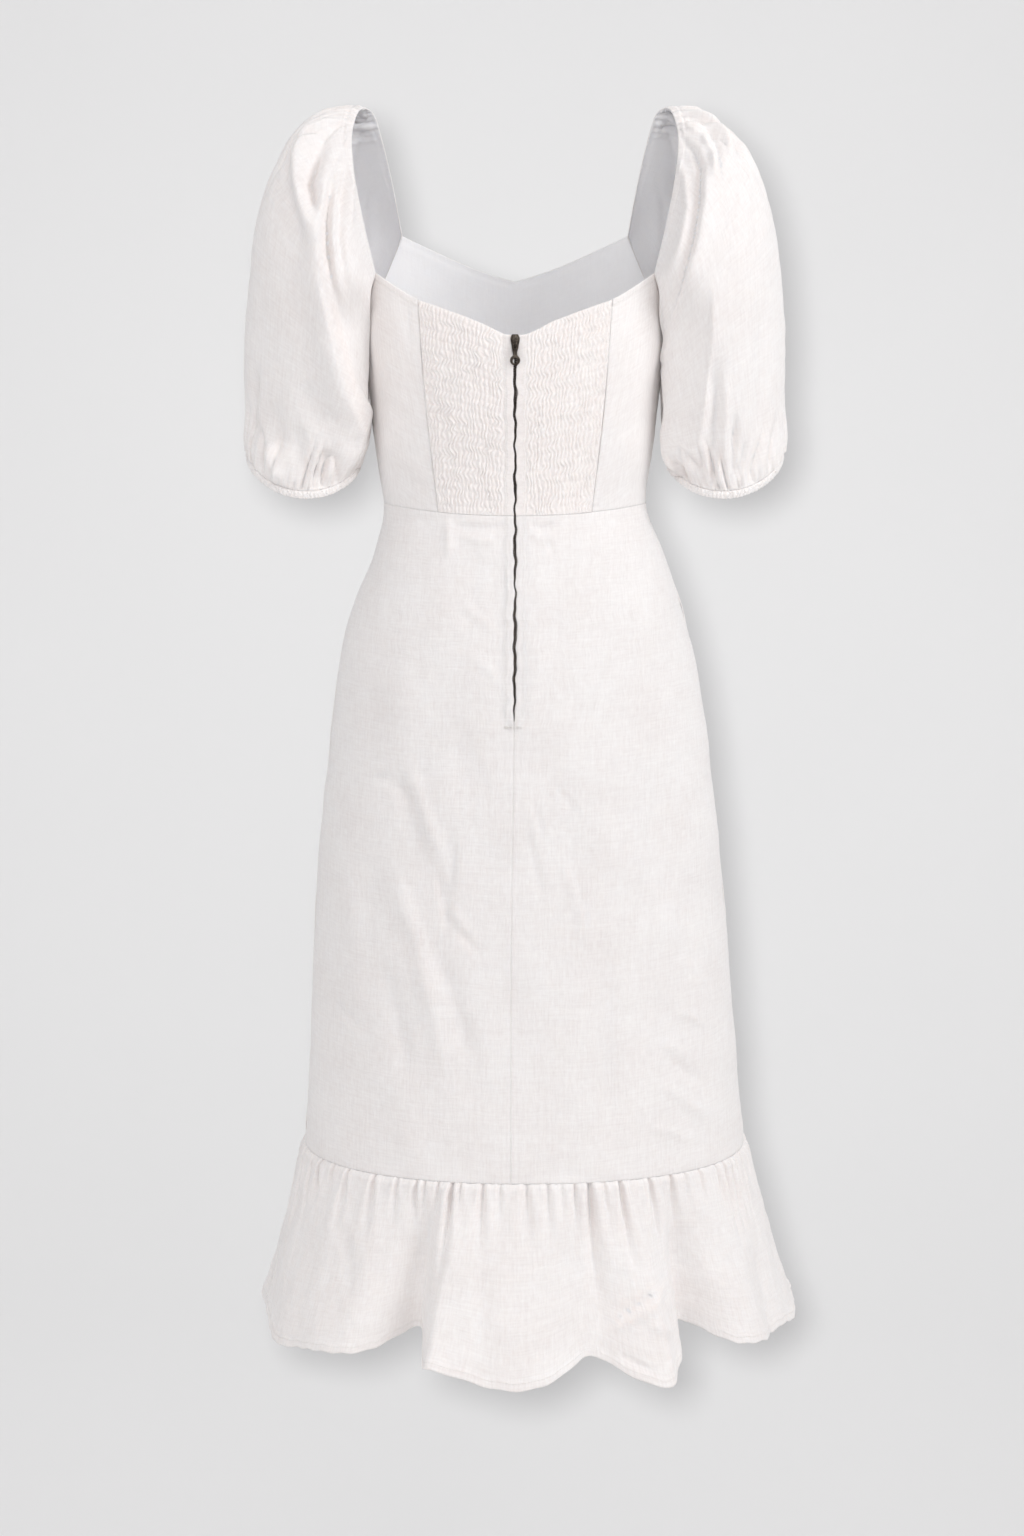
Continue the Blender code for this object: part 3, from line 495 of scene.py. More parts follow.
@dataclass
class Cloth:
    """A grid of points that becomes a thin shell of cloth.

    Attributes:
        node: The solid that it stands for.
        outer: Points of its outside: rows, columns, 3.
        flat: Width and length of its cut.
        held: How it is held.
        rests_on: Nodes that it is sewn to above.
        closed: True for a tube.
        area: Area of its cut where that isn't a rectangle.
        inner: Points of its inside where they don't follow the outside, in fewer rows and columns.
        step: Rows and columns of the outside for each one of the inside.
        weave: Place of each point on the flat cut. A tube has one more column there.
        grain: Where straight threads run down it, as a share of its width, if it has no weave.
        slot: The record's material slot.
    """

    node: str
    outer: Array
    flat: Place
    held: Held
    rests_on: tuple[str, ...] = ()
    closed: bool = False
    area: float | None = None
    inner: Array | None = None
    step: int = 2
    weave: Array | None = None
    grain: float = 0.5
    slot: str = "linen"

    def normals(self) -> Array:
        """Outward directions of the grid's points."""
        grid = self.outer
        if self.closed:
            grid = np.concatenate([grid[:, -1:], grid, grid[:, :1]], axis=1)
        normal = np.cross(np.gradient(grid, axis=1), np.gradient(grid, axis=0))
        if self.closed:
            normal = normal[:, 1:-1]
        normal /= np.maximum(np.linalg.norm(normal, axis=2, keepdims=True), 1e-12)
        middle = self.outer.mean(axis=1, keepdims=True) if self.closed else self.outer * UPRIGHT
        self.turned = float((normal * (self.outer - middle)).sum()) < 0.0
        return -normal if self.turned else normal

    def make(self, finishes: Finishes) -> None:
        normals = self.normals()
        step = self.step
        if self.inner is None:
            self.inner = self.lining(normals)
        points = np.concatenate([self.outer.reshape(-1, 3), self.inner.reshape(-1, 3)])
        index = [self.numbers(self.outer, 0), self.numbers(self.inner, self.outer[..., 0].size)]
        if self.weave is None:
            wall = self.wrapped(self.outer)
            across = run_along(wall, 1)
            down = run_along(wall, 0)
            self.weave = np.stack([across - self.grain * across[:, -1:], down], axis=-1)
        maps = [self.weave, self.weave[::step, ::step]]
        faces, places, slots = [], [], []
        for layer, (ids, uv) in enumerate(zip(index, maps)):
            corners, spots = (
                [grid[:-1, :-1], grid[:-1, 1:], grid[1:, 1:], grid[1:, :-1]] for grid in (ids, uv)
            )
            if self.turned != (layer == 1):
                corners, spots = corners[::-1], spots[::-1]
            faces += np.stack([c.ravel() for c in corners], axis=1).tolist()
            places += np.stack([s.reshape(-1, 2) for s in spots], axis=1).tolist()
            slots += [layer] * corners[0].size
        for edge in self.borders(*index, maps[0]):
            fine, coarse, spots = (part[::-1] for part in edge) if self.turned else edge
            for i in range(len(coarse) - 1):
                run = slice(i * step, (i + 1) * step + 1)
                faces.append([*fine[run][::-1], coarse[i], coarse[i + 1]])
                ends = spots[run]
                places.append([*ends[::-1], ends[0], ends[-1]])
                slots.append(0)
        mesh = bpy.data.meshes.new(self.node + "_cloth")
        mesh.from_pydata(points.tolist(), [], faces)
        layer = mesh.uv_layers.new(name=WEAVE_MAP)
        layer.data.foreach_set("uv", np.array([v for face in places for p in face for v in p]))
        mesh.materials.append(finishes.outside)
        # inside faces take the linen copy painted lighter, as painted light where the inside lies
        # in shade
        mesh.materials.append(finishes.inside)
        mesh.polygons.foreach_set("material_index", slots)
        mesh.shade_smooth()
        mesh.update()
        made = new_object(self.node + "_cloth", mesh)
        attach(made, DRESS)
        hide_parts(self.node)
        log.info("%s: %d triangles", made.name, sum(len(f) - 2 for f in faces))

    def lining(self, normals: Array) -> Array:
        """Points of the inside: a thickness in, and further where it would show through a fold."""
        step = self.step
        inner = (self.outer - CLOTH_THICKNESS * normals)[::step, ::step]
        near = range(-step, step + 1)
        for _ in range(2):
            fine = self.wrapped(inner)
            for axis in (0, 1):
                at = np.arange(self.outer.shape[axis]) / step
                low = at.astype(int)
                high = np.minimum(low + 1, fine.shape[axis] - 1)
                share = (at - low).reshape((-1, 1, 1) if axis == 0 else (1, -1, 1))
                fine = np.take(fine, low, axis) * (1 - share) + np.take(fine, high, axis) * share
            gap = ((self.outer - fine) * normals).sum(axis=2)
            short = np.maximum(0.0, 0.4 * CLOTH_THICKNESS - gap)
            worst = np.max([np.roll(short, (i, j), (0, 1)) for i in near for j in near], axis=0)
            inner = inner - (worst[..., None] * normals)[::step, ::step]
        return inner

    def wrapped(self, grid: Array) -> Array:
        """The grid, with its first column again after its last on a tube."""
        return np.concatenate([grid, grid[:, :1]], axis=1) if self.closed else grid

    def numbers(self, grid: Array, first: int) -> Array:
        """Numbers of the grid's points, wrapped as the grid is."""
        return self.wrapped(first + np.arange(grid[..., 0].size).reshape(grid.shape[:2]))

    def borders(self, outer: Array, inner: Array, spots: Array) -> list[tuple]:
        """Each edge's points outside and inside, and its places on the weave map."""
        grids = (outer, inner, spots)
        found = [tuple(g[0] for g in grids), tuple(g[-1][::-1] for g in grids)]
        if not self.closed:
            found += [tuple(g[::-1, 0] for g in grids), tuple(g[:, -1] for g in grids)]
        return found


@dataclass(frozen=True)
class DressForm:
    """The general figure that the dress is filled out on, as level sections."""

    # z, half width, depth to the front, depth to the back, sideways drift
    sections: Table = millimetres(
        (0, 156, 90, 88, 0), (-113, 152, 112, 94, 0), (-188, 149, 119, 102, 0),
        (-215, 146.7, 121, 103, 0), (-262, 140.4, 116, 99, -0.5), (-307, 136, 107, 94, -1),
        (-340, 131, 99, 90, -0.8), (-373, 127, 94, 88, 0), (-417, 138.6, 100, 100, 3.5),
        (-460, 155.4, 106, 112, 3.1), (-507, 169.2, 110, 122, 2), (-556, 178.5, 114, 129, 2.5),
        (-634, 188.2, 120, 135, 4), (-718, 198.4, 127, 140, 4), (-796, 204, 135, 146, 5.3),
        (-873, 209.4, 144, 152, 7.2), (-952, 214.7, 153, 160, 8.7), (-1006, 219.5, 160, 166, 9.5)
    )
    roundness: float = 2.2
    waist: float = -0.373
    waist_dip: float = 0.010
    ruffle_seam: float = -1.006
    underarm: float = -0.205
    armhole_bend: float = 2.0
    back_corner: Place = (0.131, -0.157)
    front_corner: Place = (0.1115, -0.1135)
    # x, z
    back_neck: Table = millimetres(
        (0, -216.5), (9, -215.5), (34, -204), (70, -190.5), (94, -181.5), (112, -170.5), (131, -157)
    )
    # x, z
    front_neck: Table = millimetres((0, -156), (15, -152), (45, -142), (83, -126), (111.5, -113.5))
    # z, x
    smock_seam: Table = millimetres((-184, 90.5), (-278, 84), (-383, 72.5))
    zip_top: float = -0.216
    zip_bottom: float = -0.573
    centre_shift: float = -0.004
    centre_shift_z: Place = (-0.45, -0.85)
    # z, half of the width between the folded edges
    zip_opening: Table = millimetres(
        (-216, 2.2), (-235, 2), (-252, 1.4), (-262, 1.4), (-270, 1.9), (-280, 1.4), (-301, 1.2),
        (-319, 0.9), (-338, 1.1), (-356, 1.5), (-372, 0.9), (-395, 1.1), (-413, 1.4), (-432, 1.1),
        (-448, 0.6), (-462, 0.9), (-485, 1.5), (-505, 1.4), (-526, 1.4), (-550, 1), (-566, 0.6),
        (-576, 0)
    )

    def size(self, z: Array) -> list[Array]:
        """Half width, front depth, back depth and drift at a height."""
        return [read_table(self.sections, z, column) for column in (1, 2, 3, 4)]

    def point(self, turn: Array, z: Array, out: Array | float = 0.0) -> Array:
        """Points of the figure.

        Args:
            turn: Degrees round it: 0 at the centre back, 90 at +X, 180 in front.
            z: Heights.
            out: How far they stand out from it.

        Returns:
            The points, with a last axis of 3.
        """
        turn, z, out = np.broadcast_arrays(turn, z, out)
        width, front, back, drift = self.size(z)
        angle = np.radians(turn)
        power = 2.0 / self.roundness
        depth = np.where(np.cos(angle) > 0.0, back, front)
        x = np.sign(np.sin(angle)) * np.abs(np.sin(angle)) ** power
        y = -np.sign(np.cos(angle)) * np.abs(np.cos(angle)) ** power
        return np.stack([drift + (width + out) * x, (depth + out) * y, z], axis=-1)

    def turn_at(self, x: Array | float, z: Array | float, front: bool = False) -> Array:
        """Turn in degrees of the point with this x, on the back or the front half."""
        width, _, _, drift = self.size(z)
        share = np.minimum(1.0, np.abs(x - drift) / width)
        turn = np.sign(x - drift) * np.degrees(np.arcsin(share ** (self.roundness / 2.0)))
        return 180.0 - turn if front else turn

    def waist_at(self, turn: Array) -> Array:
        """Height of the waist seam."""
        return self.waist - self.waist_dip * np.maximum(0.0, np.cos(np.radians(turn))) ** 2

    def bodice_top(self, turn: Array) -> Array:
        """Height of the bodice's upper edge at turns between 0 and 180."""
        back_turn = self.turn_at(*self.back_corner)
        front_turn = self.turn_at(*self.front_corner, front=True)
        back_x = self.point(turn, self.back_corner[1])[..., 0]
        front_x = np.abs(self.point(turn, self.front_corner[1])[..., 0])
        behind = turn < 90.0
        corner = np.where(behind, self.back_corner[1], self.front_corner[1])
        corner_turn = np.where(behind, back_turn, front_turn)
        share = np.minimum(1.0, np.abs(turn - 90.0) / np.abs(corner_turn - 90.0))
        armhole = self.underarm + (corner - self.underarm) * share**self.armhole_bend
        neck = np.where(turn <= back_turn, read_table(self.back_neck, back_x), armhole)
        return np.where(turn >= front_turn, read_table(self.front_neck, front_x), neck)

    def centre_back(self, z: Array | float) -> Array:
        """x of the zip and of the seam below it."""
        return self.centre_shift * ease(*self.centre_shift_z, z)

    def zip_edge(self, side: int, z: Array | float) -> Array:
        """x of the folded edge on this side of the zip, -1 or 1."""
        open_share = ease(self.zip_bottom, self.zip_bottom + 0.02, z)
        sway = 0.0006 * np.sin(math.tau * z / 0.031) + 0.0004 * np.sin(math.tau * z / 0.0143)
        return self.centre_back(z) + open_share * sway + side * read_table(self.zip_opening, z)

    def smock_edge(self, z: Array | float) -> Array:
        """x of the seam between a smocked and a side panel."""
        return read_table(self.smock_seam, z)


FORM = DressForm()


def seam_roll(distance: Array, depth: float = 0.0003, reach: float = 0.0018) -> Array:
    """Cloth turning in towards a seam at this distance."""
    return -depth * (1.0 - ease(0.0, reach, distance))


def lapped_under(distance: Array) -> Array:
    """The edge of a piece that lies under its neighbour's edge, SEAM_LAP wide."""
    return -1.3 * CLOTH_THICKNESS * (1.0 - ease(0.5 * SEAM_LAP, SEAM_LAP + 0.0010, distance))


def lap_in_degrees(radius: float) -> float:
    """Turn of a seam's lap, this far from the middle line."""
    return math.degrees(SEAM_LAP / radius)


def turned_edge(distance: Array, width: float, raised: float = 0.0006) -> Array:
    """Double cloth of a narrow hem along an edge, rounded at the edge itself."""
    step = 1.0 - ease(width - 0.0004, width + 0.0007, distance)
    return raised * step - 0.0005 * (1.0 - ease(0.0, 0.0011, distance))


@dataclass(frozen=True)
class Bodice:
    """Front bodice and two plain side backs."""

    hem: float = 0.0065  # turned edge round the neck
    front_columns: tuple[int, int] = (36, 108)  # of each armhole, of the neck
    side_columns: tuple[int, int] = (26, 62)
    rows: int = 100
    front_folds: tuple[Fold, ...] = folds(
        (1.6, 8, 6, 95, -235, 60, -215, 30, -212), (1.8, 8, 6, -100, -230, -64, -214, -34, -210),
        (-1.4, 9, 9, 90, -300, 50, -322, 15, -326), (-1.4, 8, 9, -88, -306, -50, -330, -20, -334),
        (0.9, 6, 6, 20, -170, 12, -205, 10, -240), (1, 7, 7, -70, -150, -60, -190, -57, -225),
        (-0.9, 6, 6, 75, -146, 68, -180, 66, -210)
    )
    side_folds: tuple[Fold, ...] = folds(
        (-1.2, 2.8, 2.2, -100.5, -188, -98.5, -208, -95.5, -229),
        (1, 5, 4, -112, -185, -108, -210, -104, -240),
        (1, 6, 5, -134, -232, -118, -252, -101, -262),
        (-1, 6, 6, -132, -262, -112, -287, -94, -300),
        (0.9, 6, 6, -128, -310, -110, -330, -84, -342),
        (-0.9, 5, 5, -122, -340, -104, -352, -80, -356),
        (0.9, 6, 6, 134, -240, 118, -262, 98, -270), (-0.9, 6, 6, 130, -286, 112, -300, 92, -303),
        (0.9, 6, 6, 124, -330, 106, -343, 82, -350), (-0.7, 4, 5, 112, -186, 108, -215, 106, -240)
    )

    def unevenness(self, points: Array, seed: float) -> Array:
        """Slack of linen that isn't pressed."""
        broad = mottle(points[..., 0], points[..., 2], 0.038, seed)
        fine = mottle(points[..., 0], points[..., 2], 0.013, seed + 7.0)
        return 0.0006 * broad + 0.00022 * fine

    def front(self) -> Cloth:
        """Front bodice from side seam to side seam."""
        first = 90.0
        corner = float(FORM.turn_at(*FORM.front_corner, front=True))
        armhole, neck = self.front_columns
        half = first + (corner - first) * graded(armhole, 0.4)
        middle = corner + (360.0 - 2.0 * corner) * graded(neck, 0.4)
        turns = np.concatenate([half[:-1], middle, (360.0 - half)[::-1][1:]])
        top = FORM.bodice_top(np.minimum(turns, 360.0 - turns))
        z = top + (FORM.waist - SEAM_GAP - top) * graded(self.rows)[:, None]
        points = FORM.point(turns, z)
        below = top - z
        at_neck = (turns >= corner) & (turns <= 360.0 - corner)
        out = np.where(at_neck, turned_edge(below, self.hem), seam_roll(below))
        for seam_turn in (first, 360.0 - first):
            side = np.radians(np.abs(turns - seam_turn)) * 0.1
            out = out + seam_roll(side + 0.0 * z)
        out = out + seam_roll(z - FORM.waist)
        inner = ease(0.0, 0.02, below) * ease(0.0, 0.012, z - FORM.waist)
        creases = all_folds(self.front_folds, points[..., 0], points[..., 2])
        out = out + inner * (creases + self.unevenness(points, 3.0))
        outer = FORM.point(turns, z, out)
        return Cloth("front_bodice", outer, (0.46, 0.27), Held.STRETCHED, area=0.095)

    def side_back(self, side: Side) -> Cloth:
        """Plain side back from the shirred panel to the side seam."""
        start = float(FORM.turn_at(FORM.smock_seam[0][1], FORM.smock_seam[0][0]))
        corner = float(FORM.turn_at(*FORM.back_corner))
        neck, armhole = self.side_columns
        turns = np.concatenate(
            [
                start + (corner - start) * graded(neck, 0.4)[:-1],
                corner + (90.0 - corner) * graded(armhole, 0.4)
            ]
        )
        share = (turns - start) / (90.0 - start)
        top = FORM.bodice_top(turns)
        z = top + (FORM.waist_at(turns) - SEAM_GAP - top) * graded(self.rows)[:, None]
        inner_turn = FORM.turn_at(side.value * FORM.smock_edge(z), z)
        lap = lap_in_degrees(0.11)
        turn = inner_turn + (side.value * (90.0 + lap) - inner_turn) * share
        points = FORM.point(turn, z)
        below = top - z
        from_seam = run_along(points, 1)
        out = np.where(turns <= corner, turned_edge(below, self.hem), seam_roll(below))
        out = out + seam_roll(from_seam) + lapped_under(from_seam[:, -1:] - from_seam)
        out = out + seam_roll(z - FORM.waist_at(turns))
        pull = np.sin(math.tau * z / 0.0068 + 1.3 * mottle(z, share, 0.02, 5.0))
        out = out + 0.00025 * pull * bell(from_seam - 0.003, 0.0045)
        inner = ease(0.0, 0.012, below) * ease(0.0, 0.012, z - FORM.waist_at(turns))
        creases = all_folds(self.side_folds, points[..., 0], points[..., 2])
        out = out + inner * (creases + self.unevenness(points, 11.0 + side.value))
        outer = FORM.point(turn, z, out)
        return Cloth(
            f"back_side_panel_{side.word}", outer, (0.14, 0.24), Held.STRETCHED, area=0.0175
        )


@dataclass(frozen=True)
class Shirring:
    """Linen drawn up by rows of elastic thread into upright wavy puckers."""

    rows: int = 25
    pitch: float = 0.0036
    depth: float = 0.0017
    strip: float = 0.0085  # plain double cloth beside the zip
    columns: int = 168
    steps_a_row: int = 7
    inner_step: int = 7

    def height(self, across: Array, down: Array, row: Array, seed: float) -> Array:
        """Height of the puckers above the cloth's lowest places.

        Args:
            across: Metres across the panel.
            down: Metres down the panel.
            row: Rows of elastic above this place, with its fraction.
            seed: Any number, for a pattern of its own.

        Returns:
            The height in metres.
        """
        wander = 0.42 * mottle(across, 1.5 * down, 0.013, seed)
        wander = wander + 0.16 * mottle(across, down, 0.0048, seed + 3.0)
        zigzag = 0.13 * np.cos(math.pi * row + 2.5 * mottle(across, down, 0.02, seed + 5.0))
        phase = math.tau * (across / self.pitch + wander + zigzag)
        wave = 0.5 + 0.5 * np.cos(phase)
        patchy = ease(0.1, 0.6, mottle(across, down, 0.009, seed + 7.0))
        split = 0.22 * np.cos(2.0 * phase + 2.0) * patchy
        puff = np.abs(np.sin(math.pi * row)) ** 0.7
        share = 0.85 + 0.3 * mottle(across, 0.6 * down, 0.005, seed + 9.0)
        height = self.depth * (wave + split) * (0.62 + 0.38 * puff) * share
        return height - 0.0002 * (1.0 - puff)

    def panel(self, side: Side) -> Cloth:
        """Shirred panel from the zip to the side back."""
        across = np.linspace(0.0, 1.0, self.columns + 1)
        down = np.linspace(0.0, 1.0, self.rows * self.steps_a_row + 1)[:, None]

        def place(across: Array, down: Array) -> tuple[Array, Array, Array, Array]:
            """Turn and height at shares of the panel, with its width and upper edge there."""
            top = read_table(FORM.back_neck, FORM.smock_seam[0][1] * across)
            bottom = FORM.waist_at(FORM.turn_at(FORM.smock_edge(FORM.waist) * across, FORM.waist))
            z = top + (bottom - SEAM_GAP - top) * down
            start = side.value * FORM.zip_edge(side.value, z)
            width = FORM.smock_edge(z) + SEAM_LAP - start
            x = start + width * across
            return FORM.turn_at(side.value * x, z), z, width, top

        turn, z, width, top = place(across, down)
        from_zip = width * across
        from_seam = width * (1.0 - across)
        waves = self.height(from_zip, z, down * self.rows, 21.0 * side.value)
        inside = ease(self.strip, self.strip + 0.0035, from_zip) * ease(0.0014, 0.0036, from_seam)
        below, above_waist = top - z, z - z[-1]
        calm_top = 0.45 + 0.55 * ease(0.0, 0.006, below)
        calm_waist = 0.35 + 0.65 * ease(0.0, 0.006, above_waist)
        out = inside * calm_top * calm_waist * waves
        out = out + lapped_under(from_seam) + seam_roll(above_waist) - 0.0004 * (below < 0.0004)
        out = out + strip_relief(from_zip, z, self.strip, side)
        outer = FORM.point(turn, z, out)
        step = self.inner_step
        turn, z, _, _ = place(across[::step], down[::step])
        inner = FORM.point(turn, z, -CLOTH_THICKNESS - 0.0010)
        return Cloth(
            f"back_smocked_panel_{side.word}", outer, (0.142, 0.176), Held.GATHERED, inner=inner,
            step=step, slot="smocked_linen", area=0.0215
        )


def strip_relief(from_edge: Array, z: Array, width: float, side: Side) -> Array:
    """The folded and topstitched strip beside the zip: raised, rounded at its fold, and uneven.

    Args:
        from_edge: Distance from the folded edge.
        z: Heights.
        width: Width of the strip.
        side: Which of the two strips it is.

    Returns:
        How far it stands out.
    """
    inside = 1.0 - ease(width - 0.0012, width + 0.0004, from_edge)
    line = 0.0004 * bell(from_edge - (width - 0.0014), 0.0006)
    ripple = 0.0003 * mottle(from_edge, z, 0.009, 40.0 + side.value)
    fold = 0.0007 * (1.0 - ease(0.0, 0.0009, from_edge)) ** 2
    return inside * (0.0009 + ripple) - line - fold


@dataclass(frozen=True)
class Skirt:
    """Skirt of a front and two halves of a back, with soft creases."""

    strip: float = 0.0085  # plain double cloth beside the zip
    back_columns: int = 120
    front_columns: int = 168
    back_rows: int = 230
    front_rows: int = 160
    back_folds: tuple[Fold, ...] = folds(
        (2.4, 5, 5, -63, -382, -61, -405, -62, -424),
        (-2.4, 4.2, 4.2, -56, -393, -30, -394, -12, -392),
        (1.5, 4, 4, -52, -402, -34, -406, -14, -404), (-2.4, 4, 4.2, 12, -392, 24, -394, 38, -391),
        (1.4, 4, 4, 14, -402, 26, -404, 40, -400), (-1.2, 3, 4, 28, -404, 34, -414, 39, -426),
        (3, 10, 6, -101, -610, -84, -658, -68, -699),
        (-1.8, 8, 8, -110, -622, -97, -668, -83, -705),
        (3.6, 12, 7, -112, -720, -92, -776, -74, -835), (-3, 8, 9, -74, -790, -58, -838, -41, -892),
        (2.1, 9, 7, -88, -800, -76, -850, -64, -900),
        (-1.5, 4, 5, -136, -624, -108, -636, -94, -660),
        (-2.1, 6, 5, -61, -675, -58, -705, -60, -738),
        (-2.3, 5, 6, -72, -715, -66, -742, -62, -772),
        (-1.8, 3, 4, -54, -768, -44, -780, -34, -790), (1.8, 5, 4, -62, -742, -52, -760, -40, -772),
        (-1.5, 4, 3, -178, -846, -162, -858, -145, -871), (1.2, 4, 3, -172, -862, -156, -872),
        (-2.3, 9, 8, -124, -800, -112, -856, -98, -912),
        (2.3, 14, 12, -160, -700, -152, -780, -146, -860),
        (-1.4, 4, 4, 32, -628, 48, -644, 62, -664), (-1.4, 4, 4, 18, -650, 24, -670, 29, -688),
        (-1.6, 5, 4, 10, -668, 18, -702, 25, -740), (1.9, 7, 3, 45, -700, 58, -736, 70, -775),
        (-2.4, 13, 12, 87, -780, 89, -880, 93, -975),
        (2.3, 3.5, 3, 154, -851, 168, -858, 180, -870),
        (1.8, 4, 3, 163, -804, 173, -816, 181, -831),
        (2.4, 5, 3.5, 140, -919, 160, -934, 183, -957),
        (1.9, 4, 3, 140, -880, 154, -888, 168, -900), (-1.6, 4, 4, 150, -900, 166, -912, 182, -926),
        (1.5, 5, 4, 126, -956, 150, -966, 172, -978), (1.2, 6, 4, -51, -462, -34, -476, -14, -492),
        (1.2, 6, 4, -40, -510, -24, -524, -10, -540), (1.8, 14, 14, 148, -560, 156, -640, 160, -720)
    )
    front_folds: tuple[Fold, ...] = folds(
        (2.2, 10, 6, 95, -600, 78, -660, 66, -715), (-1.8, 9, 8, 60, -700, 46, -770, 40, -830),
        (2.2, 12, 8, 118, -740, 100, -800, 90, -870), (-1.6, 9, 8, -90, -640, -70, -700, -58, -760),
        (2.2, 12, 8, -112, -780, -94, -840, -86, -910),
        (-1.4, 10, 10, -40, -860, -30, -910, -26, -960),
        (1.4, 4, 3, -176, -850, -160, -862, -146, -874),
        (1.4, 4, 3, 150, -900, 164, -914, 176, -932), (-1.2, 5, 5, 10, -400, 30, -410, 52, -408),
        (-1.2, 5, 5, -50, -402, -28, -412, -8, -410), (1.2, 14, 14, 20, -520, 14, -600, 16, -680)
    )

    def unevenness(self, points: Array, seed: float) -> Array:
        """Slack and small crumples of washed linen, softer across than down."""
        x, z = points[..., 0], points[..., 2]
        long = mottle(x, z / 3.0, 0.034, seed)
        broad = mottle(x + 0.4 * z, z, 0.045, seed + 4.0)
        fine = mottle(x, z, 0.011, seed + 8.0)
        return 0.0009 * long + 0.0006 * broad + 0.00018 * fine

    def back(self, side: Side) -> Cloth:
        """Half of the back, open along the zip and seamed below it."""
        share = graded(self.back_columns)
        top = FORM.waist_at(90.0 * share) + SEAM_LAP
        z = top + (FORM.ruffle_seam - SEAM_GAP - top) * graded(self.back_rows, 0.5)[:, None]
        open_share = ease(FORM.zip_bottom - 0.003, FORM.zip_bottom + 0.001, z)
        under = SEAM_LAP * (1.0 - open_share) if side is Side.RIGHT else 0.0
        start = FORM.turn_at(FORM.zip_edge(side.value, z) - under, z)
        lap = lap_in_degrees(0.14)
        turn = start + (side.value * (90.0 + lap) - start) * share
        points = FORM.point(turn, z)
        from_edge = run_along(points, 1)
        below_waist = top - z
        out = lapped_under(below_waist) + seam_roll(z - FORM.ruffle_seam)
        out = out + lapped_under(from_edge[:, -1:] - from_edge)
        out = out + open_share * strip_relief(from_edge, z, self.strip, side)
        seam = lapped_under(from_edge) if side is Side.RIGHT else seam_roll(from_edge)
        out = out + (1.0 - open_share) * seam
        inner = ease(0.0, 0.010, below_waist) * ease(0.0, 0.012, z - FORM.ruffle_seam)
        calm_strip = 1.0 - 0.7 * open_share * (1.0 - ease(0.006, 0.02, from_edge))
        creases = all_folds(self.back_folds, points[..., 0], points[..., 2])
        slack = self.unevenness(points, 60.0)
        out = out + inner * calm_strip * (creases + slack)
        outer = FORM.point(turn, z, out)
        return Cloth(
            f"skirt_back_{side.word}", outer, (0.33, 0.66), Held.HUNG,
            rests_on=(f"back_smocked_panel_{side.word}", f"back_side_panel_{side.word}"),
            area=0.176, grain=0.0
        )

    def front(self) -> Cloth:
        """The whole front."""
        turns = 90.0 + 180.0 * graded(self.front_columns)
        top = FORM.waist + SEAM_LAP
        z = top + (FORM.ruffle_seam - SEAM_GAP - top) * graded(self.front_rows, 0.5)[:, None]
        points = FORM.point(turns, z)
        from_edge = run_along(points, 1)
        out = lapped_under(top - z + 0.0 * turns) + seam_roll(z - FORM.ruffle_seam)
        out = out + seam_roll(from_edge) + seam_roll(from_edge[:, -1:] - from_edge)
        inner = ease(0.0, 0.010, top - z) * ease(0.0, 0.012, z - FORM.ruffle_seam)
        creases = all_folds(self.front_folds, points[..., 0], points[..., 2])
        out = out + inner * (creases + self.unevenness(points, 75.0))
        outer = FORM.point(turns, z, out)
        return Cloth(
            "skirt_front", outer, (0.62, 0.65), Held.HUNG, rests_on=("front_bodice",), area=0.345
        )


@dataclass(frozen=True)
class Gather:
    """A pleat that the gathering stitches make at the top of the ruffle.

    Attributes:
        turn: Where it starts, in degrees from the centre back.
        depth: How deep it is.
        width: Its half width in degrees.
        length: How far down it fades, as a share of the ruffle's depth.
    """

    turn: float
    depth: float
    width: float
    length: float


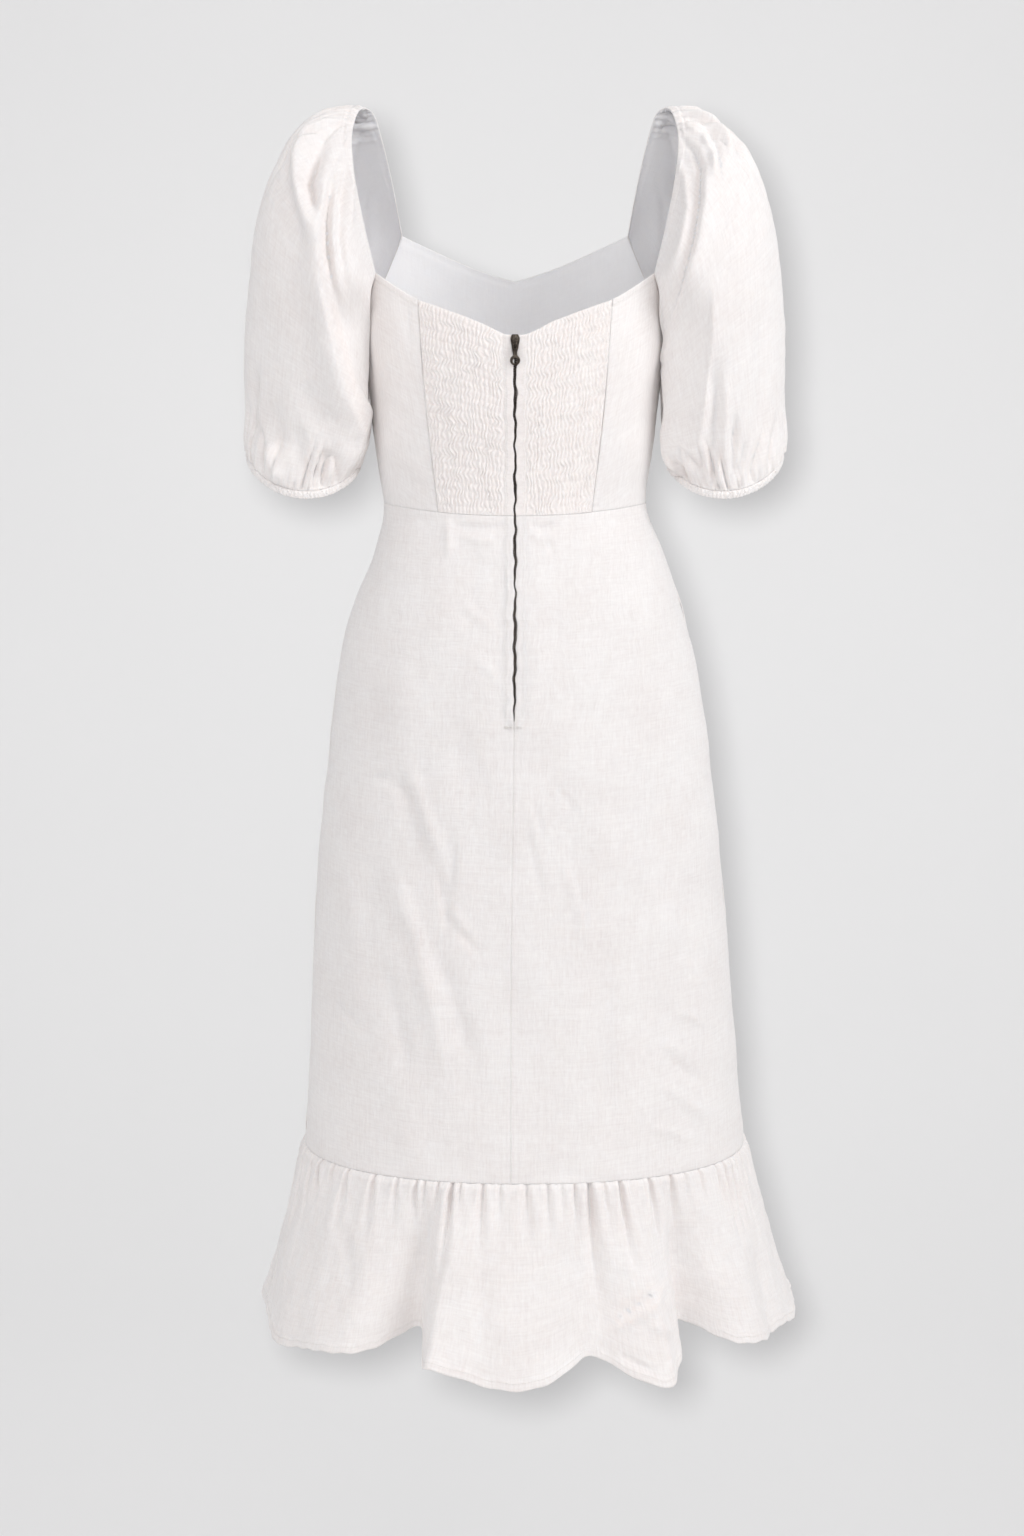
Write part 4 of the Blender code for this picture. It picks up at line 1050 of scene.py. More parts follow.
@dataclass(frozen=True)
class Ruffle:
    """Gathered ruffle of two panels with large waves and a narrow hem."""

    flare: float = 0.046
    hem_z: float = -1.174
    hem: float = 0.0075
    radius: float = 0.19  # of the seam, to turn angles into lengths
    hem_radius: float = 0.22
    pleat_depth: float = 1.6  # shares of each pleat's own depth and width
    pleat_width: float = 0.8
    pleat_puff: float = 0.6
    tuck: float = 0.0004
    puff: float = 0.0016
    slack: Place = (0.0019, 0.0004)  # broad and fine
    crumple: float = 1.5
    hem_ripple: float = 0.0006
    columns: int = 460
    rows: int = 64
    # turn, wave width towards lower and higher turns, out at the hem, lean, drop of the hem
    waves: Table = (
        (-86, 13, 13, -0.008, 0, 0.004), (-62, 12, 12, 0.004, 0, 0.008),
        (-40, 13, 13, 0.006, 0, -0.004), (-22, 9, 2.4, -0.054, -0.012, -0.022),
        (-14, 4, 6, 0.016, -0.014, -0.01), (-2, 9, 9, 0.014, 0, 0.012),
        (12, 5, 5, -0.012, 0, -0.014), (25, 7, 4, 0.018, 0.01, 0.014),
        (36, 2.4, 9, -0.052, 0.012, -0.024), (50, 10, 10, 0.012, -0.002, -0.002),
        (66, 7, 7, -0.004, 0, 0.006), (84, 9, 9, 0.006, 0, 0.011), (103, 11, 11, 0.014, 0, 0.006),
        (122, 8, 8, -0.022, 0, -0.012), (141, 11, 11, 0.02, 0, 0.01), (160, 7, 7, -0.02, 0, -0.012),
        (180, 12, 12, 0.02, 0, 0.01), (201, 8, 8, -0.024, 0, -0.014),
        (221, 11, 11, 0.018, 0, 0.009), (242, 8, 8, -0.018, 0, -0.01), (261, 10, 10, 0.01, 0, 0.006)
    )
    # x at the seam on the back, depth, half width in turn, length as a share
    pleats: Table = (
        (-0.186, 0.0016, 1, 0.3), (-0.174, 0.0018, 0.9, 0.26), (-0.159, 0.0028, 1, 0.45),
        (-0.133, 0.0026, 1.1, 0.5), (-0.111, 0.002, 0.8, 0.35), (-0.093, 0.0024, 0.9, 0.4),
        (-0.085, 0.002, 0.8, 0.35), (-0.072, 0.0022, 0.8, 0.35), (-0.059, 0.0042, 1, 0.7),
        (-0.051, 0.002, 0.7, 0.3), (-0.03, 0.0032, 1, 0.6), (-0.014, 0.0016, 0.7, 0.3),
        (0.011, 0.0028, 0.9, 0.45), (0.031, 0.0024, 0.9, 0.5), (0.044, 0.0014, 0.7, 0.3),
        (0.056, 0.0026, 0.8, 0.4), (0.07, 0.005, 1.3, 0.95), (0.084, 0.0016, 0.7, 0.3),
        (0.099, 0.004, 1, 0.65), (0.127, 0.0034, 1, 0.5), (0.148, 0.0034, 1, 0.45),
        (0.162, 0.0018, 0.8, 0.3), (0.176, 0.002, 0.8, 0.3), (0.193, 0.0024, 1, 0.4)
    )
    crumples: tuple[Fold, ...] = folds(
        (2, 5, 3, 88, -1137, 112, -1124, 131, -1112, 145, -1096),
        (-1.6, 5, 4, 94, -1128, 112, -1116, 128, -1104),
        (1.8, 4, 3, 120, -1130, 134, -1138, 149, -1147),
        (-1.8, 4, 3, 96, -1158, 110, -1166, 124, -1174),
        (1.6, 5, 4, 104, -1070, 110, -1096, 112, -1118),
        (-1.2, 6, 6, -166, -1060, -158, -1090, -156, -1120),
        (-1.2, 7, 6, -36, -1080, -28, -1110, -30, -1150),
        (1.4, 7, 6, 170, -1060, 182, -1090, 190, -1120)
    )

    def wave(self, turn: Array) -> list[Array]:
        """Outward move, lean and drop of the hem."""
        rows = np.array(self.waves, float)
        near = (turn[..., None] - rows[:, 0] + 180.0) % 360.0 - 180.0
        weights = np.exp(-((near / np.where(near < 0.0, rows[:, 1], rows[:, 2])) ** 2))
        return [weights @ rows[:, column] for column in (3, 4, 5)]

    def gathers(self) -> list[Gather]:
        """All pleats round the seam: those placed one by one behind, and the rest spaced unevenly.
        """
        found = []
        for x, depth, width, length in self.pleats:
            found.append(Gather(float(FORM.turn_at(x, FORM.ruffle_seam)), depth, width, length))
        spacing = random.Random(17)
        turn = max(gather.turn for gather in found) + 4.0
        last = 360.0 + min(gather.turn for gather in found)
        while turn < last:
            found.append(
                Gather(
                    turn, spacing.uniform(0.0014, 0.0036), spacing.uniform(0.7, 1.2),
                    spacing.uniform(0.28, 0.65)
                )
            )
            turn += spacing.uniform(3.4, 6.6)
        return found

    def relief(self, turn: Array, down: Array) -> Array:
        """How far pleats and stitched puckers move the ruffle out."""
        total = np.zeros(np.broadcast_shapes(turn.shape, down.shape))
        puff = np.zeros_like(total)
        for gather in self.gathers():
            centre = gather.turn * (1.0 + 0.02 * down)
            near = (turn - centre + 180.0) % 360.0 - 180.0
            fade = (1.0 - ease(0.15 * gather.length, gather.length, down)) * ease(-0.01, 0.03, down)
            width = gather.width * (0.5 + 1.5 * down / gather.length)
            pleat = bell(near, self.pleat_width * width)
            total -= self.pleat_depth * gather.depth * fade * pleat
            shoulder = bell(np.abs(near) - 2.0 * width, 1.2 * width)
            puff += self.pleat_puff * gather.depth * fade * shoulder
        arc = np.radians(turn) * self.radius
        fine = np.sin(math.tau * (arc / 0.0056 + mottle(arc, down, 0.016, 31.0)))
        tucks = self.tuck * fine * ease(-0.01, 0.012, down) * (1.0 - ease(0.03, 0.12, down))
        return total + puff + tucks

    def crowded(self, start: float) -> Array:
        """Turns of the columns of half a ruffle, closer together at its pleats."""
        lap = lap_in_degrees(0.17) if start < 0.0 else 0.0
        even = np.linspace(start - lap, start + 180.0 + lap, 1801)
        weight = np.ones_like(even)
        for gather in self.gathers():
            near = (even - gather.turn + 180.0) % 360.0 - 180.0
            weight += 2.0 * bell(near, 1.2)
        reach = np.concatenate([[0.0], np.cumsum(0.5 * (weight[1:] + weight[:-1]))])
        return np.interp(np.linspace(0.0, reach[-1], self.columns + 1), reach, even)

    def half(self, node: str, start: float, rests_on: tuple[str, ...]) -> Cloth:
        """Half of the ruffle.

        Args:
            node: The solid that it stands for.
            start: Turn of its first side edge.
            rests_on: What it is sewn to.

        Returns:
            The cloth.
        """
        turn = self.crowded(start)
        down = graded(self.rows, 0.55)[:, None]
        out, lean, drop = self.wave(turn)
        top = FORM.ruffle_seam + SEAM_LAP
        z = top + (self.hem_z - top) * down
        seam = FORM.point(turn, FORM.ruffle_seam)
        angle = np.radians(turn)
        depth = FORM.ruffle_seam - self.hem_z
        above_hem = depth * (1.0 - down)
        puffed = self.puff * ease(0.0, 0.04, down) * (1.0 - ease(0.1, 0.6, down))
        x_flat = seam[:, 0] + (self.flare * down) * np.sin(angle) + lean * down**1.5
        flat_z = z - drop * down**1.5
        crumples = all_folds(self.crumples, x_flat, flat_z) if start < 0.0 else 0.0
        arc = angle * self.hem_radius
        slack = self.slack[0] * mottle(arc, z / 2.2, 0.030, 52.0)
        slack = slack + self.slack[1] * mottle(arc, z, 0.011, 57.0)
        edge = np.minimum(turn - turn[0], turn[-1] - turn)
        body = self.relief(turn, down) + (self.crumple * crumples + slack) * ease(0.02, 0.3, down)
        reach = self.flare * down**1.1 + out * down**1.2 + puffed
        reach = reach + body * ease(0.0, 2.0, edge) + lapped_under(depth * down)
        reach = reach + turned_edge(above_hem, self.hem, 0.0009)
        side = np.radians(edge) * self.radius + 0.0 * down
        reach = reach + (lapped_under(side) if start < 0.0 else seam_roll(side))
        ripple = np.sin(math.tau * arc / 0.019) * ease(0.03, 0.0, above_hem)
        outer = np.stack(
            [
                seam[:, 0] + reach * np.sin(angle) + lean * down**1.5,
                seam[:, 1] - reach * np.cos(angle), flat_z + self.hem_ripple * ripple
            ],
            axis=-1
        )
        flat = (0.86, 0.183)
        share = (turn - start) / 180.0
        weave = np.stack(np.broadcast_arrays(flat[0] * share, flat[1] * down), axis=-1)
        return Cloth(node, outer, flat, Held.GATHERED, rests_on, weave=weave)


@dataclass(frozen=True)
class Sleeve:
    """Puff sleeve gathered over the shoulder and into an elastic cuff."""

    # shares of the way round where the free neck edge begins and ends
    ways: Place = (0.16, 0.84)
    # share of the way round the sleeve, x, y, z
    neck_edge: Table = (
        (0.16, 0.131, -0.056, -0.157), (0.24, 0.1415, -0.0575, -0.111),
        (0.32, 0.15, -0.051, -0.066), (0.39, 0.153, -0.038, -0.032), (0.45, 0.149, -0.019, -0.008),
        (0.5, 0.1425, 0, 0), (0.55, 0.1345, 0.019, -0.005), (0.61, 0.1275, 0.037, -0.029),
        (0.69, 0.119, 0.056, -0.068), (0.84, 0.1115, 0.076, -0.1135)
    )
    cuff_centre: tuple[float, float, float] = (0.2045, 0.000, -0.323)
    cuff_half: Place = (0.0545, 0.052)
    cuff_back_drop: float = 0.033
    cuff_front_rise: float = 0.015
    cuff_inner_drop: float = 0.010
    cuff_height: float = 0.008
    near_head_out: Place = (0.003, 0.122)
    near_head_y: float = -0.060
    near_head_up: Place = (-0.022, 0.030)
    near_cuff_out: tuple[float, float, float] = (-0.013, 0.016, -0.024)
    near_cuff_y: float = -0.042
    near_cuff_up: tuple[float, float, float] = (0.045, 0.055, 0.025)
    clearance: float = 0.0014
    # z, depth at which the sleeve meets the bodice's side
    meets_at: Table = millimetres(
        (-345, 26), (-300, 30), (-260, 33), (-220, 37), (-190, 46), (-157, 56)
    )
    # z, x of the main fold, depth of the strip where it comes out from under the fold
    left_strip: Table = millimetres(
        (-345, 140, 44), (-309, 142, 48), (-274, 154, 53), (-231, 165, 58), (-204, 171, 63),
        (-175, 178, 72), (-139, 184, 86), (-79, 180, 95)
    )
    right_strip: Table = millimetres(
        (-345, 170, 60), (-300, 176, 70), (-250, 182, 82), (-200, 184, 90), (-150, 184, 95)
    )
    columns: tuple[int, int, int] = (30, 60, 120)  # of each armhole side, neck edge side, shoulder
    rows: int = 140
    overlap: float = 0.006  # how far it laps over the bodice behind
    cuff_gathers: int = 46
    shoulder_gathers: int = 17
    casing: float = 0.0085
    length: float = 0.36
    # heights of its gathers and of its slack, broad and fine
    fine_gather: float = 0.0050
    broad_gather: float = 0.0080
    neck_tuck: float = 0.0006
    elastic_channel: float = 0.0009
    cuff_gather: float = 0.0013
    cuff_puff: float = 0.0075
    slack: Place = (0.0011, 0.0003)
    back_share: float = 1.8  # of the folds' heights in the tables below
    front_share: float = 1.4
    left_back: tuple[Fold, ...] = folds(
        (
            7.0, 20, 3.5, -163, -43, -169, -56, -176, -79, -180, -111, -180, -139, -174, -175, -167,
            -204, -161, -231, -152, -274, -140, -309
        ),
        (-5.0, 3.5, 5, -170, -84, -174, -111, -173, -140, -167, -172),
        (3.4, 3.5, 3.5, -163, -63, -168, -92, -170, -125, -166, -160, -158, -200),
        (-2.6, 3, 3, -158, -60, -161, -92, -161, -130, -156, -170),
        (2.0, 3, 3, -150, -50, -153, -86, -153, -122),
        (-7.0, 5.5, 5.5, -178, -38, -186, -58, -190, -76, -187, -92, -184, -110),
        (6.0, 6, 7, -178, -25, -196, -37, -203, -53, -202, -75, -195, -103, -189, -125),
        (-4.0, 9, 9, -214, -43, -217, -67, -209, -96, -199, -120, -194, -142),
        (-2.4, 3, 3, -164, -20, -174, -28, -184, -40), (-2.2, 3, 3, -166, -8, -182, -14, -198, -24),
        (2.6, 3, 3, -168, -12, -184, -20, -202, -32),
        (-4.0, 5, 5, -245, -245, -252, -283, -250, -317),
        (-3.2, 3, 3, -243, -300, -241, -312, -240, -346),
        (-4.5, 5, 5, -175, -322, -183, -340, -190, -360),
        (-2.6, 12, 12, -197, -255, -188, -278, -178, -303),
        (2.6, 12, 12, -178, -207, -169, -252, -161, -298),
        (-3.0, 10, 10, -230, -274, -226, -300, -221, -327),
        (-2.4, 9, 9, -205, -296, -205, -330, -203, -350),
        (3.0, 6, 5, -232, -316, -228, -336, -222, -352)
    )
    right_back: tuple[Fold, ...] = folds(
        (
            -3.6, 3.2, 3.2, 155, -31, 168, -46, 173, -63, 171, -96, 166, -125, 156, -163, 146, -199,
            140, -235
        ),
        (
            5.0, 4.5, 18, 161, -31, 173, -47, 178, -64, 176, -96, 171, -126, 161, -164, 152, -200,
            146, -236
        ),
        (2.6, 5, 4, 150, -50, 160, -72, 162, -100, 156, -130, 146, -160),
        (-2.6, 3.2, 3.2, 154, -12, 173, -16, 184, -26, 189, -43, 191, -74),
        (-2.4, 3.2, 3.2, 168, -24, 180, -36, 187, -55),
        (3.6, 3, 4, 163, -22, 176, -32, 184, -48, 186, -74),
        (2.6, 3, 4, 166, -8, 184, -14, 197, -30, 203, -56),
        (-3.0, 4, 4, 178, -8, 196, -16, 208, -34, 213, -58),
        (-4.4, 9, 9, 187, -235, 189, -279, 184, -350),
        (-3.0, 2.8, 2.8, 156, -312, 158, -322, 165, -360),
        (4.4, 5, 4, 151, -290, 153, -312, 159, -351), (-3.4, 4, 4, 208, -290, 207, -310, 206, -360),
        (-2.0, 2.8, 2.8, 187, -330, 187, -345, 187, -362),
        (3.0, 5, 5, 196, -250, 197, -290, 196, -340), (-2.6, 4, 4, 218, -312, 215, -330, 210, -350),
        (-2.2, 8, 8, 228, -190, 232, -250, 230, -320), (2.0, 10, 10, 206, -70, 212, -115, 210, -165)
    )
    front_half: tuple[Fold, ...] = folds(
        (7, 12, 6, 146, -26, 160, -60, 168, -100, 166, -150, 156, -205, 146, -255),
        (2.8, 4, 3, 140, -60, 148, -90, 150, -130, 146, -170),
        (-3.9, 6, 5, 170, -30, 180, -62, 182, -100), (3.4, 7, 5, 190, -34, 200, -68, 204, -110),
        (-2.5, 3, 3, 156, -12, 166, -24, 176, -40), (2.2, 3, 3, 148, -18, 154, -34, 160, -52),
        (-3.1, 12, 12, 196, -190, 200, -240, 198, -290),
        (-3.6, 5, 4, 214, -240, 212, -275, 206, -306), (-3.4, 4, 4, 168, -240, 172, -270, 178, -302)
    )

    def head(self, way: Array) -> Array:
        """Points where the sleeve begins: the armhole, then the free neck edge."""
        first, last = self.ways
        back = float(FORM.turn_at(*FORM.back_corner))
        front = float(FORM.turn_at(*FORM.front_corner, front=True))
        neck = np.stack([read_table(self.neck_edge, way, column) for column in (1, 2, 3)], axis=-1)
        behind = 90.0 + (back - 90.0) * way / first
        before = 90.0 + (front - 90.0) * (1.0 - way) / (1.0 - last)
        turn = np.where(way < first, behind, before)
        armhole = FORM.point(turn, FORM.bodice_top(turn) - SEAM_LAP, -1.2 * CLOTH_THICKNESS)
        free = (way >= first) & (way <= last)
        return np.where(free[..., None], neck, armhole)

    def cuff_edge(self, way: Array, out: Array | float = 0.0, down: Array | float = 0.0) -> Array:
        """Points round the cuff's upper edge, moved out or down."""
        way, out, down = np.broadcast_arrays(way, out, down)
        angle = math.tau * way
        across, back = -np.cos(angle), -np.sin(angle)
        tilt = 0.5 * (self.cuff_back_drop + self.cuff_front_rise)
        sag = 0.5 * (self.cuff_back_drop - self.cuff_front_rise)
        slope = 0.5 * self.cuff_inner_drop * (1.0 - across)
        return np.stack(
            [
                self.cuff_centre[0] + (self.cuff_half[0] + out) * across,
                self.cuff_centre[1] + (self.cuff_half[1] + out) * back,
                self.cuff_centre[2] + tilt * back - sag * back * back - slope - down
            ],
            axis=-1
        )

    def smooth_grid(self, way: Array, along: Array) -> Array:
        """Points of the sleeve before its gathers and folds."""
        angle = math.tau * way
        top, back = 0.5 - 0.5 * np.cos(angle), np.sin(angle)
        head, cuff = self.head(way), self.cuff_edge(way)
        out = self.near_head_out[0] + self.near_head_out[1] * top**2
        up = self.near_head_up[0] + self.near_head_up[1] * top
        first = head + np.stack([out, self.near_head_y * back, up], axis=-1)
        out, up = (
            share[0] + share[1] * top + share[2] * back**2
            for share in (self.near_cuff_out, self.near_cuff_up)
        )
        second = cuff + np.stack([out, self.near_cuff_y * back, up], axis=-1)
        rest = 1.0 - along
        weights = (rest**3, 3 * rest**2 * along, 3 * rest * along**2, along**3)
        return sum(w[..., None] * p for w, p in zip(weights, (head, first, second, cuff)))

    def relief(self, way: Array, along: Array, base: Array, side: Side) -> Array:
        """How far gathers, folds and slack move the sleeve out.

        Args:
            way: Shares of the way round.
            along: Shares of the length, in rows.
            base: The smooth sleeve, on the right hand side.
            side: Which sleeve it is.

        Returns:
            The outward moves.
        """
        seed = 90.0 + side.value
        shoulder = 1.0 - ease(0.06, 0.125, np.abs(way - 0.5))
        jitter = 0.35 * mottle(way * 3.0, along, 0.12, seed)
        count = self.shoulder_gathers * (way - 0.5) / 0.24
        fine = np.abs(np.sin(math.pi * (count + jitter))) ** 0.7 - 0.6
        broad = np.abs(np.sin(math.pi * (0.45 * count + jitter))) ** 0.7 - 0.6
        out = self.fine_gather * shoulder * fine * (1.0 - ease(0.02, 0.17, along))
        lower = ease(0.01, 0.08, along) * (1.0 - ease(0.1, 0.45, along))
        out = out + self.broad_gather * shoulder * broad * lower
        neck = 1.0 - ease(0.085, 0.115, np.abs(way - 0.5))
        length = run_along(base, 0)
        tucks = np.cos(math.tau * (way / 0.0095 + 0.3 * mottle(way * 9.0, along, 0.1, seed + 2.0)))
        channel = bell(length - self.casing, 0.0011)
        tucks = self.neck_tuck * tucks * (1.0 - ease(0.006, 0.030, length))
        out = out + neck * (tucks - self.elastic_channel * channel)
        to_cuff = length[-1:] - length
        cuff_phase = self.cuff_gathers * way + 0.45 * mottle(way * 6.0, along, 0.12, seed + 4.0)
        drawn = np.cos(math.tau * cuff_phase) * (1.0 - ease(0.0, 0.026, to_cuff))
        out = out + self.cuff_gather * drawn
        broad_phase = 15.0 * way + 0.8 * mottle(way * 4.0, along, 0.3, seed + 6.0)
        broad = np.abs(np.sin(math.pi * broad_phase)) ** 0.7 - 0.6
        out = out + self.cuff_puff * broad * bell(to_cuff - 0.018, 0.024)
        x, z = side.value * base[..., 0], base[..., 2]
        behind = ease(0.0, -0.012, base[..., 1])
        before = ease(0.0, 0.012, base[..., 1])
        back_folds = self.left_back if side is Side.LEFT else self.right_back
        out = out + self.back_share * behind * all_folds(back_folds, x, z)
        out = out + self.front_share * before * all_folds(self.front_half, base[..., 0], z)
        u = way * self.length
        broad = mottle(u, length / 2.5, 0.034, seed + 8.0) * ease(0.0, 0.05, length)
        fine = mottle(u, length, 0.012, seed + 12.0) * ease(0.0, 0.03, length)
        out = out + self.slack[0] * broad + self.slack[1] * fine
        ends = ease(0.0, 0.006, length) * ease(0.0, 0.003, to_cuff)
        first, last = self.ways
        free = (way >= first) & (way <= last)
        edge = np.where(free, turned_edge(length, 0.0065) * (1.0 - 0.7 * neck), seam_roll(length))
        return out * ends + edge + seam_roll(to_cuff, 0.0003, 0.0015)

    def bodice_side(self, y: Array, z: Array) -> Array:
        """x of the bodice's side, with the clearance."""
        width, front, back, _ = FORM.size(z)
        share = np.minimum(1.0, np.abs(y) / np.where(y > 0.0, front, back))
        return width * (1.0 - share**FORM.roundness) ** (1.0 / FORM.roundness) + self.clearance

    def beside_bodice(self, points: Array, side: Side) -> Array:
        """The points, with the strip from main fold to bodice laid back against the bodice."""
        x, y, z = np.moveaxis(points, -1, 0)
        table = self.left_strip if side is Side.LEFT else self.right_strip
        fold, foot = read_table(table, z, 1), read_table(table, z, 2)
        deep = read_table(self.meets_at, z)
        near = self.bodice_side(-deep, z)
        share = np.clip((x - near) / np.maximum(fold - near, 0.002), 0.0, 1.0)
        limit = deep + (foot - deep) * share**0.8
        depth = np.abs(y)
        laid = np.where(depth > limit, limit + 0.2 * (depth - limit), depth)
        weight = (1.0 - ease(-0.205, -0.150, z)) * (1.0 - ease(-0.0035, 0.0005, x - fold))
        depth = depth + weight * (laid - depth)
        return np.stack([x, np.sign(y) * depth, z], axis=-1)

    def clear_of_bodice(self, points: Array) -> Array:
        """The points, moved out sideways where they would touch the bodice's side."""
        x, y, z = np.moveaxis(points, -1, 0)
        least = self.bodice_side(y, z) - 0.3 * ease(-0.170, -0.140, z)
        return np.stack([np.where(x < least, least, x), y, z], axis=-1)

    def puff(self, side: Side) -> Cloth:
        """The sleeve itself."""
        first, last = self.ways
        armhole, neck, shoulder = self.columns
        stops = (0.0, first, 0.38, 0.62, last, 1.0)
        counts = (armhole, neck, shoulder, neck, armhole)
        spans = zip(stops, stops[1:], counts)
        way = np.concatenate([np.linspace(a, b, n + 1)[:-1] for a, b, n in spans])
        along = graded(self.rows, 0.62)[:, None]
        base = self.smooth_grid(way[None, :], along)
        rolled = Cloth("", base, (0, 0), Held.HUNG, closed=True).normals()
        moved = base + self.relief(way, along, base, side)[..., None] * rolled
        length = ease(0.08, 0.35, along) * (1.0 - ease(0.84, 0.99, along))
        behind = bell(way - 0.11, 0.055) * length
        before = 0.6 * bell(way - 0.89, 0.055) * length
        moved[..., 0] -= self.overlap * (behind + before)
        moved[1:-1] = self.beside_bodice(moved, side)[1:-1]
        moved[1:-1] = self.clear_of_bodice(moved)[1:-1]
        outer = moved * np.array([side.value, 1.0, 1.0])
        across = 0.44 * np.append(way, 1.0)
        weave = np.stack(np.broadcast_arrays(across, self.length * along), axis=-1)
        return Cloth(
            f"sleeve_{side.word}", outer, (0.46, 0.36), Held.GATHERED,
            rests_on=("front_bodice", f"back_side_panel_{side.word}"), closed=True, area=0.125,
            weave=weave
        )

    def cuff(self, side: Side) -> Cloth:
        """Elastic casing at the sleeve's end, drawn up into small tucks."""
        count = 16 * self.cuff_gathers
        way = np.linspace(0.0, 1.0, count + 1)[:-1]
        down = np.linspace(0.0, 1.0, 11)[:, None]
        jitter = 0.4 * mottle(way * 8.0, down * 0.3, 0.1, 130.0 + side.value)
        tucks = 0.5 + 0.5 * np.cos(math.tau * (2.0 * self.cuff_gathers * way + jitter))
        belly = np.sin(math.pi * np.clip(down, 0.04, 0.96)) ** 0.5
        out = 0.0012 * belly * tucks + 0.0004 * belly - 0.0004 * (1.0 - belly)
        frill = 0.0006 * tucks * ease(0.6, 1.0, down)
        under = lapped_under(down * self.cuff_height)
        outer = self.cuff_edge(way, out + under, down * self.cuff_height - SEAM_LAP + frill)
        outer = outer * np.array([side.value, 1.0, 1.0])
        return Cloth(
            f"sleeve_cuff_{side.word}", outer, (0.42, 0.0105), Held.GATHERED,
            rests_on=(f"sleeve_{side.word}",), closed=True
        )


# Sewing


@dataclass(frozen=True)
class Stitching:
    """Rows of machine stitches: short rounded lengths of thread, a little sunk in the cloth."""

    length: float = 0.0023
    gap: float = 0.0007
    radius: float = 0.00022
    sink: float = 0.00004
    # how far from their edges the seams run
    hem_line: float = 0.0066
    strip_line: float = 0.0071
    neck_line: float = 0.0056
    tack_drop: float = 0.004
    tack_rows: int = 4
    tack_row_gap: float = 0.0006
    tack_ends: Place = (-0.0095, 0.0085)

    def stitch(self) -> tuple[Array, list[tuple[int, ...]]]:
        """One stitch along X: its points and faces."""
        select_only()
        bpy.ops.mesh.primitive_cylinder_add(
            vertices=6, radius=self.radius, depth=0.8 * self.length, end_fill_type="TRIFAN",
            rotation=(0.0, math.pi / 2.0, 0.0)
        )
        made = bpy.context.object
        apply_place()
        mesh = made.data
        points = np.array([v.co for v in mesh.vertices])
        faces = [tuple(p.vertices) for p in mesh.polygons]
        tips = np.linalg.norm(points[:, 1:], axis=1) < 0.1 * self.radius
        points[tips, 0] = np.sign(points[tips, 0]) * 0.5 * self.length
        points[tips, 2] = -0.6 * self.radius
        bpy.data.objects.remove(made)
        bpy.data.meshes.remove(mesh)
        return points, faces

    def sew(self, name: str, seams: Sequence[tuple[Array, Array]], finishes: Finishes) -> None:
        """Stitches along several seams as one piece.

        Args:
            name: Name of the piece.
            seams: For each seam its points and its outward directions.
            finishes: The dress's materials.
        """
        template, template_faces = self.stitch()
        points, faces = [], []
        for line, normals in seams:
            steps = np.linalg.norm(np.diff(line, axis=0), axis=1)
            reach = np.concatenate([[0.0], np.cumsum(steps)])
            count = int(reach[-1] / (self.length + self.gap))
            for place in (np.arange(count) + 0.5) * reach[-1] / count:
                wanted = ((line, place), (line, place + 0.0008), (normals, place))
                centre, ahead, out = [
                    np.array([np.interp(at, reach, values[:, axis]) for axis in range(3)])
                    for values, at in wanted
                ]
                along = ahead - centre
                along /= max(np.linalg.norm(along), 1e-9)
                out = out - along * (out @ along)
                out /= max(np.linalg.norm(out), 1e-9)
                turn = np.stack([along, np.cross(out, along), out])
                first = len(points) * len(template)
                points.append(template @ turn + centre - self.sink * out)
                faces += [tuple(first + i for i in face) for face in template_faces]
        mesh = bpy.data.meshes.new(name)
        mesh.from_pydata(np.concatenate(points).tolist(), [], faces)
        mesh.shade_smooth()
        mesh.materials.append(finishes.thread)
        made = new_object(name, mesh)
        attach(made, DRESS)
        log.info("%s: %d stitches", name, len(points))


def seam_at_row(
    cloth: Cloth, distance: float, from_top: bool, columns: slice
) -> tuple[Array, Array]:
    """Line across a cloth at a distance from its upper or lower edge.

    Args:
        cloth: The piece of cloth.
        distance: How far from the edge.
        from_top: True for the upper edge.
        columns: The columns that it runs through.

    Returns:
        Points of the line and the outward direction at each one.
    """
    grid, normals = cloth.outer[:, columns], cloth.normals()[:, columns]
    length = run_along(grid, 0)
    reach = length if from_top else length[-1:] - length
    rows = np.abs(reach - distance).argmin(axis=0)
    across = np.arange(grid.shape[1])
    return grid[rows, across], normals[rows, across]


def seam_at_column(cloth: Cloth, distance: float, rows: slice) -> tuple[Array, Array]:
    """Line down a cloth at a distance from its first column, as seam_at_row gives one across."""
    grid, normals = cloth.outer[rows], cloth.normals()[rows]
    columns = np.abs(run_along(grid, 1) - distance).argmin(axis=1)
    down = np.arange(grid.shape[0])
    return grid[down, columns], normals[down, columns]


# Zip


def oval(radius: float, stretch: float, middle: float, angles: Array) -> list[Place]:
    """Places round an oval, which is stretched upright about its middle."""
    return [(radius * math.cos(a), middle + stretch * radius * math.sin(a)) for a in angles]


